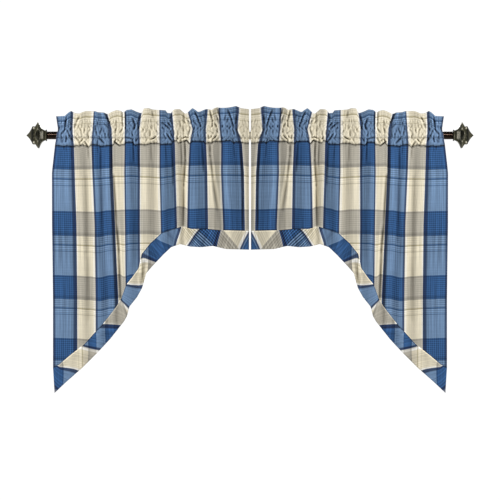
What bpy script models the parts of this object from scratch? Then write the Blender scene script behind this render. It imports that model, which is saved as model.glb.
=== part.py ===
"""Swag and tail drape: a mirrored pair of gathered plaid panels with bias bands, on one rod.

Each panel is one length of cotton. It hangs from a rod pocket, its heading is folded over into a
ruffle, and a band cut on the bias is sewn along its short hem, its diagonal and its tail.

Frame: the origin lies on the rod's axis, halfway along it. X runs to the right, Z up, and the room
is at -Y. Blender works in metres. The sizes below are in millimetres, and MM turns them into metres.
"""

import math
from typing import NamedTuple

import bmesh
import bpy
import numpy as np

MM = 0.001

ROD_DIAMETER = 25.4
ROD_LENGTH = 1300.0
ROD_FACETS = 24  # one of them faces straight down, onto the brackets

FINIAL_GAP = 0.3  # between the rod's end and a finial's collar

CLOTH_THICKNESS = 1.5
PANEL_WIDTH = 634.0  # from the middle of the pair to the outer edge, at its widest
PAIR_GAP = 6.4  # between the two inner edges
SEAT_GAP = 0.3  # between the gathered cloth and the rod it hangs on
BAND_SEAM_GAP = 0.9  # between the panel's cut edge and its band, along a rung of the band

WRAP_ANGLES = (50.0, 90.0, 130.0)  # places round the rod, from its top, where the pocket bends
POCKET_GATHER = 11.0  # how far a crest of the pocket stands off the rod
POCKET_DROP_INNER = 21.0  # pocket seam under the rod's axis, at the inner edge
POCKET_DROP_OUTER = 35.0  # and at the outer edge
POCKET_LAYERS = 3.6  # front layer to back layer at the pocket seam, middle to middle

STITCH_RISE = 22.0  # heading stitch above the rod's axis
HEADING_LAYERS = 4.0  # front layer to back layer in the heading, middle to middle
HEADING_STEPS = (0.5, 0.93)  # rows of the heading, as shares of its height above the stitch
HEADING_REACH = (0.36, 0.66)  # share of a fold's reach at the stitch and at the top

SEAM_REACH = 0.50  # share of a fold's reach at the pocket seam
FULL_REACH_DROP = 120.0  # how far under the pocket seam the folds are at their full reach
SEAM_STAND = 7.0  # middle of the folds in front of the rod's axis, at the pocket seam
STAND_DROP = 360.0  # how far under the pocket seam that has faded out
HEM_REACH = 0.62  # share of a fold's reach in the band, which is stiffer
HEM_FADE = 70.0  # how far above the band the folds start to flatten
DROP_STEPS = (0.0, 0.20, 0.40, 0.60, 0.78, 0.91, 1.0)  # rows of the drop, band to pocket seam
FOLD_STEP = 10.0  # widest column of cloth between a crest and the valley next to it
BAND_STEPS = 3  # rows across a band


class Fold(NamedTuple):
    """A crest or valley of the gathered cloth."""

    out: float  # from the middle of the pair
    reach: float  # towards the room, full size
    rise: float  # top of the heading above the rod's axis


class Rung(NamedTuple):
    """A line across the band, from the panel's cut edge to the band's hem."""

    seam_out: float
    seam_drop: float  # under the rod's axis
    hem_out: float
    hem_drop: float


class SideEdge(NamedTuple):
    """The panel's outer edge at one height."""

    drop: float  # under the rod's axis
    out: float


FOLDS = (
    Fold(out=3.2, reach=-6, rise=84),
    Fold(out=13, reach=-3, rise=86),
    Fold(out=22, reach=-9, rise=90),
    Fold(out=67, reach=10, rise=88),
    Fold(out=90, reach=-10, rise=90),
    Fold(out=118, reach=8, rise=82),
    Fold(out=140, reach=-11, rise=84),
    Fold(out=176, reach=10, rise=82),
    Fold(out=199, reach=6, rise=72),
    Fold(out=210, reach=-6, rise=74),
    Fold(out=231, reach=9, rise=83),
    Fold(out=240, reach=-12, rise=74),
    Fold(out=281, reach=13, rise=81),
    Fold(out=303, reach=-5, rise=83),
    Fold(out=331, reach=8, rise=87),
    Fold(out=355, reach=-11, rise=76),
    Fold(out=388, reach=10, rise=81),
    Fold(out=440, reach=-11, rise=69),
    Fold(out=453, reach=7, rise=72),
    Fold(out=469, reach=-6, rise=74),
    Fold(out=495, reach=8, rise=77),
    Fold(out=517, reach=-6, rise=76),
    Fold(out=543, reach=6, rise=70),
    Fold(out=563, reach=-5, rise=74),
    Fold(out=583, reach=3, rise=73),
    Fold(out=609, reach=4, rise=62),
    Fold(out=634, reach=0, rise=61),
)

RUNGS = (
    Rung(seam_out=3.2, seam_drop=306, hem_out=3.2, hem_drop=366),
    Rung(seam_out=90, seam_drop=304, hem_out=77, hem_drop=364),
    Rung(seam_out=138, seam_drop=299, hem_out=119, hem_drop=354),
    Rung(seam_out=186, seam_drop=300, hem_out=157, hem_drop=358),
    Rung(seam_out=218, seam_drop=292, hem_out=192, hem_drop=356),
    Rung(seam_out=250, seam_drop=301, hem_out=224, hem_drop=348),
    Rung(seam_out=284, seam_drop=313, hem_out=253, hem_drop=358),
    Rung(seam_out=320, seam_drop=346, hem_out=279, hem_drop=383),
    Rung(seam_out=347, seam_drop=380, hem_out=314, hem_drop=420),
    Rung(seam_out=356, seam_drop=425, hem_out=333, hem_drop=442),
    Rung(seam_out=378, seam_drop=456, hem_out=346, hem_drop=489),
    Rung(seam_out=397, seam_drop=479, hem_out=362, hem_drop=518),
    Rung(seam_out=412, seam_drop=521, hem_out=386, hem_drop=548),
    Rung(seam_out=426, seam_drop=546, hem_out=394, hem_drop=579),
    Rung(seam_out=445, seam_drop=571, hem_out=404, hem_drop=596),
    Rung(seam_out=475, seam_drop=609, hem_out=429, hem_drop=628),
    Rung(seam_out=497, seam_drop=631, hem_out=448, hem_drop=652),
    Rung(seam_out=532, seam_drop=670, hem_out=487, hem_drop=694),
    Rung(seam_out=577, seam_drop=705, hem_out=538, hem_drop=745),
    Rung(seam_out=612, seam_drop=735, hem_out=589, hem_drop=790),
    Rung(seam_out=631, seam_drop=742, hem_out=626, hem_drop=825),
)

SIDE_EDGES = (
    SideEdge(drop=-80, out=620),
    SideEdge(drop=35, out=626),
    SideEdge(drop=80, out=631),
    SideEdge(drop=120, out=PANEL_WIDTH),
    SideEdge(drop=440, out=PANEL_WIDTH),
    SideEdge(drop=742, out=631),
    SideEdge(drop=825, out=626),
)


class Turn(NamedTuple):
    """A step of the finial's square section."""

    along: float  # from the collar's face at the rod, outwards
    half: float  # half the width of the square there


FINIAL_PROFILE = (
    Turn(along=0.0, half=0.0),
    Turn(along=0.0, half=18.0),
    Turn(along=2.6, half=18.0),
    Turn(along=3.4, half=15.5),
    Turn(along=8.0, half=16.5),
    Turn(along=14.0, half=20.0),
    Turn(along=20.0, half=27.5),
    Turn(along=24.5, half=36.0),
    Turn(along=26.2, half=41.0),
    Turn(along=28.4, half=41.0),
    Turn(along=36.4, half=28.5),
    Turn(along=37.4, half=26.5),
    Turn(along=38.4, half=28.7),
    Turn(along=45.6, half=28.7),
    Turn(along=49.5, half=19.5),
    Turn(along=55.0, half=10.5),
    Turn(along=60.5, half=4.5),
    Turn(along=65.8, half=0.0),
)

COTTON_COLOUR = (0.24, 0.33, 0.47)
BIAS_COLOUR = (0.62, 0.55, 0.42)
BRONZE_COLOUR = (0.030, 0.020, 0.016)
PEWTER_COLOUR = (0.105, 0.100, 0.065)


def column_of(rows, name):
    """One named column of a table, as an array."""
    return np.array([getattr(row, name) for row in rows], float)


def eased(rows, key, column, at):
    """A table's column at a key, with a level crest or valley at each row."""
    keys, values = column_of(rows, key), column_of(rows, column)
    at = min(max(at, keys[0]), keys[-1])
    k = min(int(np.searchsorted(keys, at, side="right")) - 1, len(keys) - 2)
    share = (at - keys[k]) / (keys[k + 1] - keys[k])
    return values[k] + (values[k + 1] - values[k]) * (1 - math.cos(math.pi * share)) / 2


def straight(rows, key, column, at):
    """A table's column at a key, with straight lines between the rows."""
    return float(np.interp(at, column_of(rows, key), column_of(rows, column)))


def blend(low, high, share):
    """The value at a share of the way from low to high, with the share held to 0 to 1."""
    return low + (high - low) * min(max(share, 0.0), 1.0)


def out_at(width_share, drop):
    """How far out of the middle a share of the panel's width lies, at one height."""
    inner = PAIR_GAP / 2
    return inner + width_share * (straight(SIDE_EDGES, "drop", "out", drop) - inner)


def width_share_at(out, drop):
    """The share of the panel's width at a place."""
    inner = PAIR_GAP / 2
    return (out - inner) / (straight(SIDE_EDGES, "drop", "out", drop) - inner)


def reach_at(width_share):
    """A fold's full reach towards the room, at a share of the width."""
    return eased(FOLDS, "out", "reach", out_at(width_share, FULL_REACH_DROP))


def pocket_drop(width_share):
    """How far the pocket seam lies under the rod's axis."""
    return blend(POCKET_DROP_INNER, POCKET_DROP_OUTER, width_share)


def hanging_y(width_share, drop):
    """Depth of the hanging cloth, where its folds open out under the pocket seam."""
    under = drop - pocket_drop(width_share)
    above = panel_foot(width_share)[1] - drop
    opened = blend(SEAM_REACH, 1.0, under / FULL_REACH_DROP)
    flattened = blend(HEM_REACH, 1.0, above / HEM_FADE)
    return -blend(SEAM_STAND, 0.0, under / STAND_DROP) - reach_at(width_share) * opened * flattened


def panel_foot(width_share):
    """Where a column of the panel ends, on its cut edge: out of the middle, and drop."""
    drop = straight(RUNGS, "seam_out", "seam_drop", out_at(width_share, FULL_REACH_DROP))
    for _ in range(4):
        drop = straight(RUNGS, "seam_out", "seam_drop", out_at(width_share, drop))
    return out_at(width_share, drop), drop


def column_shares():
    """Shares of the width where the columns stand: each crest and valley, and even steps between."""
    outs = column_of(FOLDS, "out")
    shares = []
    for near, far in zip(outs[:-1], outs[1:]):
        steps = max(2, math.ceil((far - near) / FOLD_STEP - 0.25))
        shares += [near + (far - near) * k / steps for k in range(steps)]
    shares.append(outs[-1])
    return [width_share_at(out, FULL_REACH_DROP) for out in shares]


def drop_rows(width_share):
    """The hanging front of one column, from the cut edge up to the pocket seam."""
    foot_drop = panel_foot(width_share)[1]
    for step in DROP_STEPS:
        drop = blend(foot_drop, pocket_drop(width_share), step)
        yield out_at(width_share, drop), hanging_y(width_share, drop), -drop


def pocket_rows(width_share, side, angles):
    """The pocket round the rod: side is -1 for its front layer and 1 for its back."""
    half_step = math.radians(WRAP_ANGLES[1] - WRAP_ANGLES[0]) / 2
    tight = (ROD_DIAMETER / 2 + SEAT_GAP + CLOTH_THICKNESS / 2) / math.cos(half_step)
    reaches = column_of(FOLDS, "reach")
    forward = (reach_at(width_share) - reaches.min()) / (reaches.max() - reaches.min())
    radius = tight + POCKET_GATHER * (forward if side < 0 else 1 - forward)
    for angle in angles:
        y = side * radius * math.sin(math.radians(angle))
        z = tight * math.cos(math.radians(angle))
        yield out_at(width_share, -z), y, z


def heading_rows(width_share, side, shares):
    """The heading above the stitch: side is -1 for its front, 0 for its top fold and 1 for its back."""
    top = eased(FOLDS, "out", "rise", out_at(width_share, FULL_REACH_DROP))
    for share in shares:
        z = blend(STITCH_RISE, top, share)
        reach = reach_at(width_share) * blend(*HEADING_REACH, share)
        yield out_at(width_share, -z), side * HEADING_LAYERS / 2 - reach, z


def back_seam_row(width_share):
    """The end of the back layer, just behind the front one at the pocket seam."""
    drop = pocket_drop(width_share)
    y = hanging_y(width_share, drop) + POCKET_LAYERS
    return out_at(width_share, drop), y, -drop


def panel_column(width_share):
    """One column of the panel, up its front, over the heading and down its back."""
    up, down = (0.0,) + HEADING_STEPS, HEADING_STEPS[::-1] + (0.0,)
    return [
        *drop_rows(width_share),
        *pocket_rows(width_share, -1, WRAP_ANGLES[::-1]),
        *heading_rows(width_share, -1, up),
        *heading_rows(width_share, 0, (1.0,)),
        *heading_rows(width_share, 1, down),
        *pocket_rows(width_share, 1, WRAP_ANGLES),
        back_seam_row(width_share),
    ]


def band_column(width_share):
    """One rung of the band, from just off the panel's cut edge to the hem."""
    seam_out, seam_drop = panel_foot(width_share)
    hem_out = straight(RUNGS, "seam_out", "hem_out", seam_out)
    hem_drop = straight(RUNGS, "seam_out", "hem_drop", seam_out)
    length = math.hypot(hem_out - seam_out, hem_drop - seam_drop)
    points = []
    for k in range(BAND_STEPS + 1):
        share = blend(BAND_SEAM_GAP / length, 1.0, k / BAND_STEPS)
        out = blend(seam_out, hem_out, share)
        drop = blend(seam_drop, hem_drop, share)
        points.append((out, hanging_y(width_share_at(out, drop), drop), -drop))
    return points


def principled(name, colour, roughness, metallic):
    """A plain Principled material."""
    material = bpy.data.materials.new(name)
    material.use_nodes = True
    shader = material.node_tree.nodes["Principled BSDF"]
    shader.inputs["Base Color"].default_value = (*colour, 1.0)
    shader.inputs["Roughness"].default_value = roughness
    shader.inputs["Metallic"].default_value = metallic
    return material


def add_object(name, mesh, material, collection):
    """Puts a mesh in the scene as a named object with its own material."""
    piece = bpy.data.objects.new(name, mesh)
    mesh.materials.append(material)
    collection.objects.link(piece)
    return piece


def add_cloth(name, columns, side, material, collection):
    """A sheet of cloth from columns of points, on the left for side -1 and on the right for side 1."""
    across, along = len(columns), len(columns[0])
    bm = bmesh.new()
    bmesh.ops.create_grid(bm, x_segments=across - 1, y_segments=along - 1, size=0.5)
    for vertex in bm.verts:
        column = columns[round((vertex.co.x + 0.5) * (across - 1))]
        out, y, z = column[round((vertex.co.y + 0.5) * (along - 1))]
        vertex.co = (side * out * MM, y * MM, z * MM)
    mesh = bpy.data.meshes.new(name)
    bm.to_mesh(mesh)
    bm.free()
    mesh.shade_smooth()
    piece = add_object(name, mesh, material, collection)
    solidify = piece.modifiers.new("thickness", "SOLIDIFY")
    solidify.thickness = CLOTH_THICKNESS * MM
    solidify.offset = 0.0
    return piece


def add_rod(collection):
    """The tube through both pockets, with one facet facing down."""
    bm = bmesh.new()
    bmesh.ops.create_cone(
        bm,
        cap_ends=True,
        segments=ROD_FACETS,
        radius1=ROD_DIAMETER / 2 * MM,
        radius2=ROD_DIAMETER / 2 * MM,
        depth=ROD_LENGTH * MM,
    )
    mesh = bpy.data.meshes.new("rod")
    bm.to_mesh(mesh)
    bm.free()
    rod = add_object("rod", mesh, principled("bronze", BRONZE_COLOUR, 0.35, 0.8), collection)
    rod.rotation_mode = "ZYX"
    rod.rotation_euler = (0.0, math.pi / 2, math.pi / ROD_FACETS)
    return rod


def add_finial(name, side, collection):
    """A square pewter finial, swept in four steps from a profile along its corner."""
    start = side * (ROD_LENGTH / 2 + FINIAL_GAP)
    bm = bmesh.new()
    corners = [
        bm.verts.new(((start + side * turn.along) * MM, -turn.half * MM, turn.half * MM))
        for turn in FINIAL_PROFILE
    ]
    for near, far in zip(corners[:-1], corners[1:]):
        bm.edges.new((near, far))
    mesh = bpy.data.meshes.new(name)
    bm.to_mesh(mesh)
    bm.free()
    finial = add_object(name, mesh, principled(name + "_pewter", PEWTER_COLOUR, 0.5, 0.6), collection)
    screw = finial.modifiers.new("square", "SCREW")
    screw.axis = "X"
    screw.steps = screw.render_steps = 4
    screw.use_merge_vertices = True
    screw.merge_threshold = 0.00001
    screw.use_smooth_shade = False
    screw.use_normal_calculate = True
    return finial


def clear_scene():
    """Empties the scene."""
    for piece in list(bpy.data.objects):
        bpy.data.objects.remove(piece, do_unlink=True)


def build():
    """Makes the rod, its finials, and a panel and a band on each side."""
    clear_scene()
    collection = bpy.data.collections.new("swag_and_tail_drape")
    bpy.context.scene.collection.children.link(collection)
    add_rod(collection)
    shares = column_shares()
    panel = [panel_column(share) for share in shares]
    band = [band_column(share) for share in shares]
    for label, side in (("left", -1), ("right", 1)):
        add_finial("finial_" + label, side, collection)
        cotton = principled("cotton_" + label, COTTON_COLOUR, 0.9, 0.0)
        bias = principled("bias_" + label, BIAS_COLOUR, 0.9, 0.0)
        add_cloth("panel_" + label, panel, side, cotton, collection)
        add_cloth("band_" + label, band, side, bias, collection)


build()
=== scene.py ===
"""Looks of a swag and tail drape: two gathered plaid panels with bias bands, on a rod with finials.

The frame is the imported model: the origin lies on the rod's axis, halfway along it, X runs to the
right, Z up, and the room is at -Y. Lengths are in millimetres up to the moment a mesh is made.

A point of cloth has two names. In the weave it is (warp, weft): millimetres across the panel from
its inner edge, and millimetres down from the pocket seam. As it hangs it is (out, depth, rise):
millimetres from the middle of the pair, towards the wall, and above the rod's axis.
"""

from __future__ import annotations

import logging
import math
from dataclasses import dataclass, field
from enum import Enum
from typing import NamedTuple, Sequence

import bmesh
import bpy
import numpy as np
from mathutils import Matrix, Vector, noise

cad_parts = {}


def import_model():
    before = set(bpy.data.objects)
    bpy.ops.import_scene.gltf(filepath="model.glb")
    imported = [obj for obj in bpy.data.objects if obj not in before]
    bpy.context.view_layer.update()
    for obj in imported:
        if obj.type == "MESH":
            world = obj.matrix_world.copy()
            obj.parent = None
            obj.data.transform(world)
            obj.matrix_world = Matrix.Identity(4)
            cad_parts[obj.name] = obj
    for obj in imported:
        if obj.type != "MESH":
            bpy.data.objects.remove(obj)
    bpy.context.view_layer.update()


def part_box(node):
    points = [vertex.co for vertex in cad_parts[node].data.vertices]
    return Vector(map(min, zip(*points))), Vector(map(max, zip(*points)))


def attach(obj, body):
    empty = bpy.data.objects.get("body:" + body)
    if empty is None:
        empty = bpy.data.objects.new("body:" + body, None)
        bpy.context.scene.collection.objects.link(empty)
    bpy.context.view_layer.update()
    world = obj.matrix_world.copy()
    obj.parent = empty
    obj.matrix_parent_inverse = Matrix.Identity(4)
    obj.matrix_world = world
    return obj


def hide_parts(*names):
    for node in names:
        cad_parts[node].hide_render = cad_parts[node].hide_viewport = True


LOG = logging.getLogger("swag_and_tail_drape")
MM = 0.001
BODY = "root"

TINY = 1e-6  # keeps a division from its zero

Rows = Sequence[NamedTuple]
Spread = tuple[float, float]
Triple = tuple[float, float, float]
Colour = Triple
Stretch = list[tuple[list[np.ndarray], list[np.ndarray]]]  # rows of cloth, each with its weave


class Side(Enum):
    """Which half of the pair a piece belongs to, with the sign of its X."""

    LEFT = -1
    RIGHT = 1

    @property
    def label(self) -> str:
        """The word that piece names end with."""
        return self.name.lower()


class Layer(Enum):
    """A layer of the doubled heading and pocket, with the sign of its Y."""

    FRONT = -1
    BACK = 1


# ---------------------------------------------------------------- tables of the cut and the hang
#
# Their places were chosen one by one, in millimetres.


class Fold(NamedTuple):
    """A crest or valley of the gathered cloth."""

    out: float
    reach: float  # towards the room, full size


class StripeEdge(NamedTuple):
    """Where one edge between two warp stripes hangs, at six heights."""

    warp: float
    heading: float
    pinch: float
    seam: float
    upper: float
    middle: float
    low: float


class WeftLine(NamedTuple):
    """How far under the rod's axis a weft thread hangs at the outer edge."""

    weft: float
    drop: float


class Lift(NamedTuple):
    """How far the weft threads ride up from a level line, at three heights."""

    out: float
    upper: float
    middle: float
    low: float


class Rung(NamedTuple):
    """A line across the band, from the panel's cut edge to the band's hem."""

    seam_out: float
    seam_drop: float
    hem_out: float
    hem_drop: float


class BiasLine(NamedTuple):
    """Where a line of the plaid crosses the band, at its seam and at its hem."""

    flat: float  # its place in the flat plaid
    seam_out: float
    hem_out: float
    bow: float = 0.0  # how far its middle is shifted along the band's hem, towards the tail


class Edge(NamedTuple):
    """A point of the heading's top edge or of the pocket's seam, above the rod's axis."""

    out: float
    rise: float


class Crease(NamedTuple):
    """A crease pressed into the hanging cloth, from its top to its foot."""

    top_out: float
    top_rise: float
    foot_out: float
    foot_rise: float
    depth: float
    width: float


FOLDS = tuple(Fold(*row) for row in (
    (3.2, -6), (13, -3), (22, -9), (67, 10), (90, -10), (118, 8), (140, -11), (176, 10), (199, 6),
    (210, -6), (231, 9), (240, -12), (281, 13), (303, -5), (331, 8), (355, -11), (388, 10),
    (440, -11), (453, 7), (469, -6), (495, 8), (517, -6), (543, 6), (563, -5), (583, 3), (609, 4),
    (634, 0),
))

STRIPE = 76.0  # width of a warp stripe in the flat cloth
FIRST_STRIPE = 38.0  # width of the half stripe at the inner edge

STRIPE_EDGES = (
    StripeEdge(0, heading=3.2, pinch=3.2, seam=3.2, upper=3.2, middle=3.2, low=3.2),
    StripeEdge(38, heading=35, pinch=40, seam=25, upper=18.5, middle=16, low=16),
    StripeEdge(114, heading=101, pinch=97, seam=92, upper=93, middle=86, low=86),
    StripeEdge(190, heading=135, pinch=141, seam=140, upper=136.5, middle=134, low=134),
    StripeEdge(266, heading=200, pinch=184, seam=193, upper=197.5, middle=201, low=201),
    StripeEdge(342, heading=249, pinch=244, seam=240, upper=238, middle=233.5, low=233),
    StripeEdge(418, heading=290, pinch=290, seam=289, upper=289, middle=285, low=284),
    StripeEdge(494, heading=346, pinch=354, seam=352, upper=352, middle=353, low=351),
    StripeEdge(570, heading=402, pinch=401, seam=401, upper=402, middle=400, low=398),
    StripeEdge(646, heading=459, pinch=443, seam=440, upper=440, middle=432.5, low=421.5),
    StripeEdge(722, heading=500, pinch=504, seam=507, upper=504.5, middle=497, low=494),
    StripeEdge(798, heading=566, pinch=568, seam=563.5, upper=561, middle=555.5, low=553),
    StripeEdge(874, heading=623.5, pinch=615, seam=624, upper=634, middle=634, low=631),
)
STRIPE_DROPS = (-78.0, -20.0, 30.0, 118.0, 287.0, 527.0)  # heights of the six columns above
HEADING_COLUMN, SEAM_COLUMN = 0, 2  # those of the heading's top edge and of the pocket's seam
FOLD_COLUMN = 3  # the one at which the folds' places are given

WEFT_LINES = (
    WeftLine(weft=0, drop=35),
    WeftLine(weft=75, drop=109),
    WeftLine(weft=205, drop=242),
    WeftLine(weft=280, drop=321),
    WeftLine(weft=411, drop=448),
    WeftLine(weft=486, drop=524),
    WeftLine(weft=616, drop=649),
    WeftLine(weft=691, drop=721),
    WeftLine(weft=825, drop=850),
)

LIFTS = (
    Lift(out=3, upper=10, middle=5, low=5),
    Lift(out=40, upper=14, middle=6, low=6),
    Lift(out=99, upper=14, middle=8, low=8),
    Lift(out=130, upper=14, middle=10, low=9),
    Lift(out=190, upper=12, middle=7, low=7),
    Lift(out=212, upper=14, middle=14, low=12),
    Lift(out=232, upper=16, middle=16, low=14),
    Lift(out=256, upper=7, middle=9, low=8),
    Lift(out=285, upper=4.5, middle=2, low=2),
    Lift(out=330, upper=7, middle=5.5, low=5),
    Lift(out=381, upper=11, middle=5.5, low=3),
    Lift(out=407, upper=9, middle=5, low=-4),
    Lift(out=432, upper=10, middle=3.5, low=4),
    Lift(out=458, upper=3.5, middle=2.5, low=0.5),
    Lift(out=496, upper=1, middle=-2, low=-7),
    Lift(out=522, upper=0.5, middle=-1.5, low=-4),
    Lift(out=573, upper=-0.5, middle=-0.5, low=-1),
    Lift(out=625, upper=1, middle=0.5, low=0.5),
)
LIFT_WEFTS = (0.0, 75.0, 205.0, 411.0)  # weft threads of the pocket seam and the three columns above

RUNGS = tuple(Rung(*row) for row in (
    (3.2, 306, 3.2, 366), (90, 304, 77, 364), (138, 299, 119, 354), (186, 300, 157, 358),
    (218, 292, 192, 356), (250, 301, 224, 348), (284, 313, 253, 358), (320, 346, 279, 383),
    (347, 380, 314, 420), (356, 425, 333, 442), (378, 456, 346, 489), (397, 479, 362, 518),
    (412, 521, 386, 548), (426, 546, 394, 579), (445, 571, 404, 596), (475, 609, 429, 628),
    (497, 631, 448, 652), (532, 670, 487, 694), (577, 705, 538, 745), (612, 735, 589, 790),
    (631, 742, 626, 825),
))

BIAS_WARPS = (
    BiasLine(flat=38, seam_out=-60, hem_out=-40),
    BiasLine(flat=114, seam_out=3, hem_out=33),
    BiasLine(flat=190, seam_out=93, hem_out=106),
    BiasLine(flat=266, seam_out=162, hem_out=202),
    BiasLine(flat=342, seam_out=220, hem_out=237),
    BiasLine(flat=354, seam_out=229, hem_out=246),
    BiasLine(flat=418, seam_out=350, hem_out=301),
    BiasLine(flat=494, seam_out=395, hem_out=343),
    BiasLine(flat=570, seam_out=415, hem_out=388),
    BiasLine(flat=646, seam_out=471, hem_out=413),
    BiasLine(flat=722, seam_out=538, hem_out=482),
    BiasLine(flat=798, seam_out=617, hem_out=548, bow=-11),
    BiasLine(flat=874, seam_out=680, hem_out=616),
)

BIAS_WEFTS = (
    BiasLine(flat=0, seam_out=-60, hem_out=-20),
    BiasLine(flat=75, seam_out=-6, hem_out=25),
    BiasLine(flat=205, seam_out=84, hem_out=33),
    BiasLine(flat=280, seam_out=173, hem_out=115),
    BiasLine(flat=411, seam_out=302, hem_out=246, bow=4),
    BiasLine(flat=486, seam_out=326, hem_out=330),
    BiasLine(flat=616, seam_out=411, hem_out=392),
    BiasLine(flat=691, seam_out=464, hem_out=464),
    BiasLine(flat=821, seam_out=492, hem_out=492),
    BiasLine(flat=896, seam_out=519, hem_out=519),
    BiasLine(flat=1027, seam_out=599, hem_out=599),
    BiasLine(flat=1102, seam_out=645, hem_out=645),
)

RUFFLE_TOP = tuple(Edge(*row) for row in (
    (4, 84), (30, 87), (35, 90), (45, 94), (62, 90), (78, 88), (93, 88), (105, 90), (114, 87),
    (122, 81), (134, 84), (142, 84), (160, 76), (167, 75), (176, 82), (184, 87), (201, 72), (210, 69),
    (217, 77), (225, 84), (241, 83), (249, 78), (253, 71), (265, 72), (271, 80), (291, 81), (314, 83),
    (324, 87), (340, 86), (344, 77), (348, 71), (364, 76), (380, 83), (395, 81), (402, 75), (407, 73),
    (414, 78), (427, 81), (444, 75), (456, 69), (462, 69), (469, 73), (487, 74), (496, 77), (525, 78),
    (535, 75), (545, 70), (555, 70), (565, 73), (572, 78), (580, 74), (594, 62), (618, 61),
))

SEAM_LINE = tuple(Edge(*row) for row in (
    (3, -25.0), (16, -24.3), (28, -21.1), (43, -21.1), (51, -25.0), (59, -16.7), (77, -17.9),
    (93, -19.9), (114, -18.9), (122, -24.3), (133, -23.1), (142, -25.6), (148, -19.9), (167, -18.6),
    (186, -18.9), (194, -26.9), (203, -17.0), (215, -17.9), (221, -23.4), (230, -24.3), (233, -16.3),
    (245, -19.5), (252, -27.9), (269, -28.2), (285, -29.1), (290, -26.3), (301, -25.0), (317, -25.6),
    (327, -28.8), (336, -30.4), (346, -28.8), (359, -29.1), (367, -32.0), (375, -23.1), (384, -21.8),
    (396, -22.4), (402, -29.5), (410, -29.1), (417, -33.0), (426, -25.9), (432, -21.8), (439, -31.7),
    (448, -32.7), (464, -33.6), (478, -35.2), (487, -31.4), (496, -30.4), (506, -30.1), (517, -37.8),
    (527, -33.3), (537, -30.1), (545, -34.0), (555, -32.4), (565, -36.2), (577, -34.6), (586, -33.6),
    (594, -35.6), (609, -33.6), (622, -32.4),
))

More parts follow.
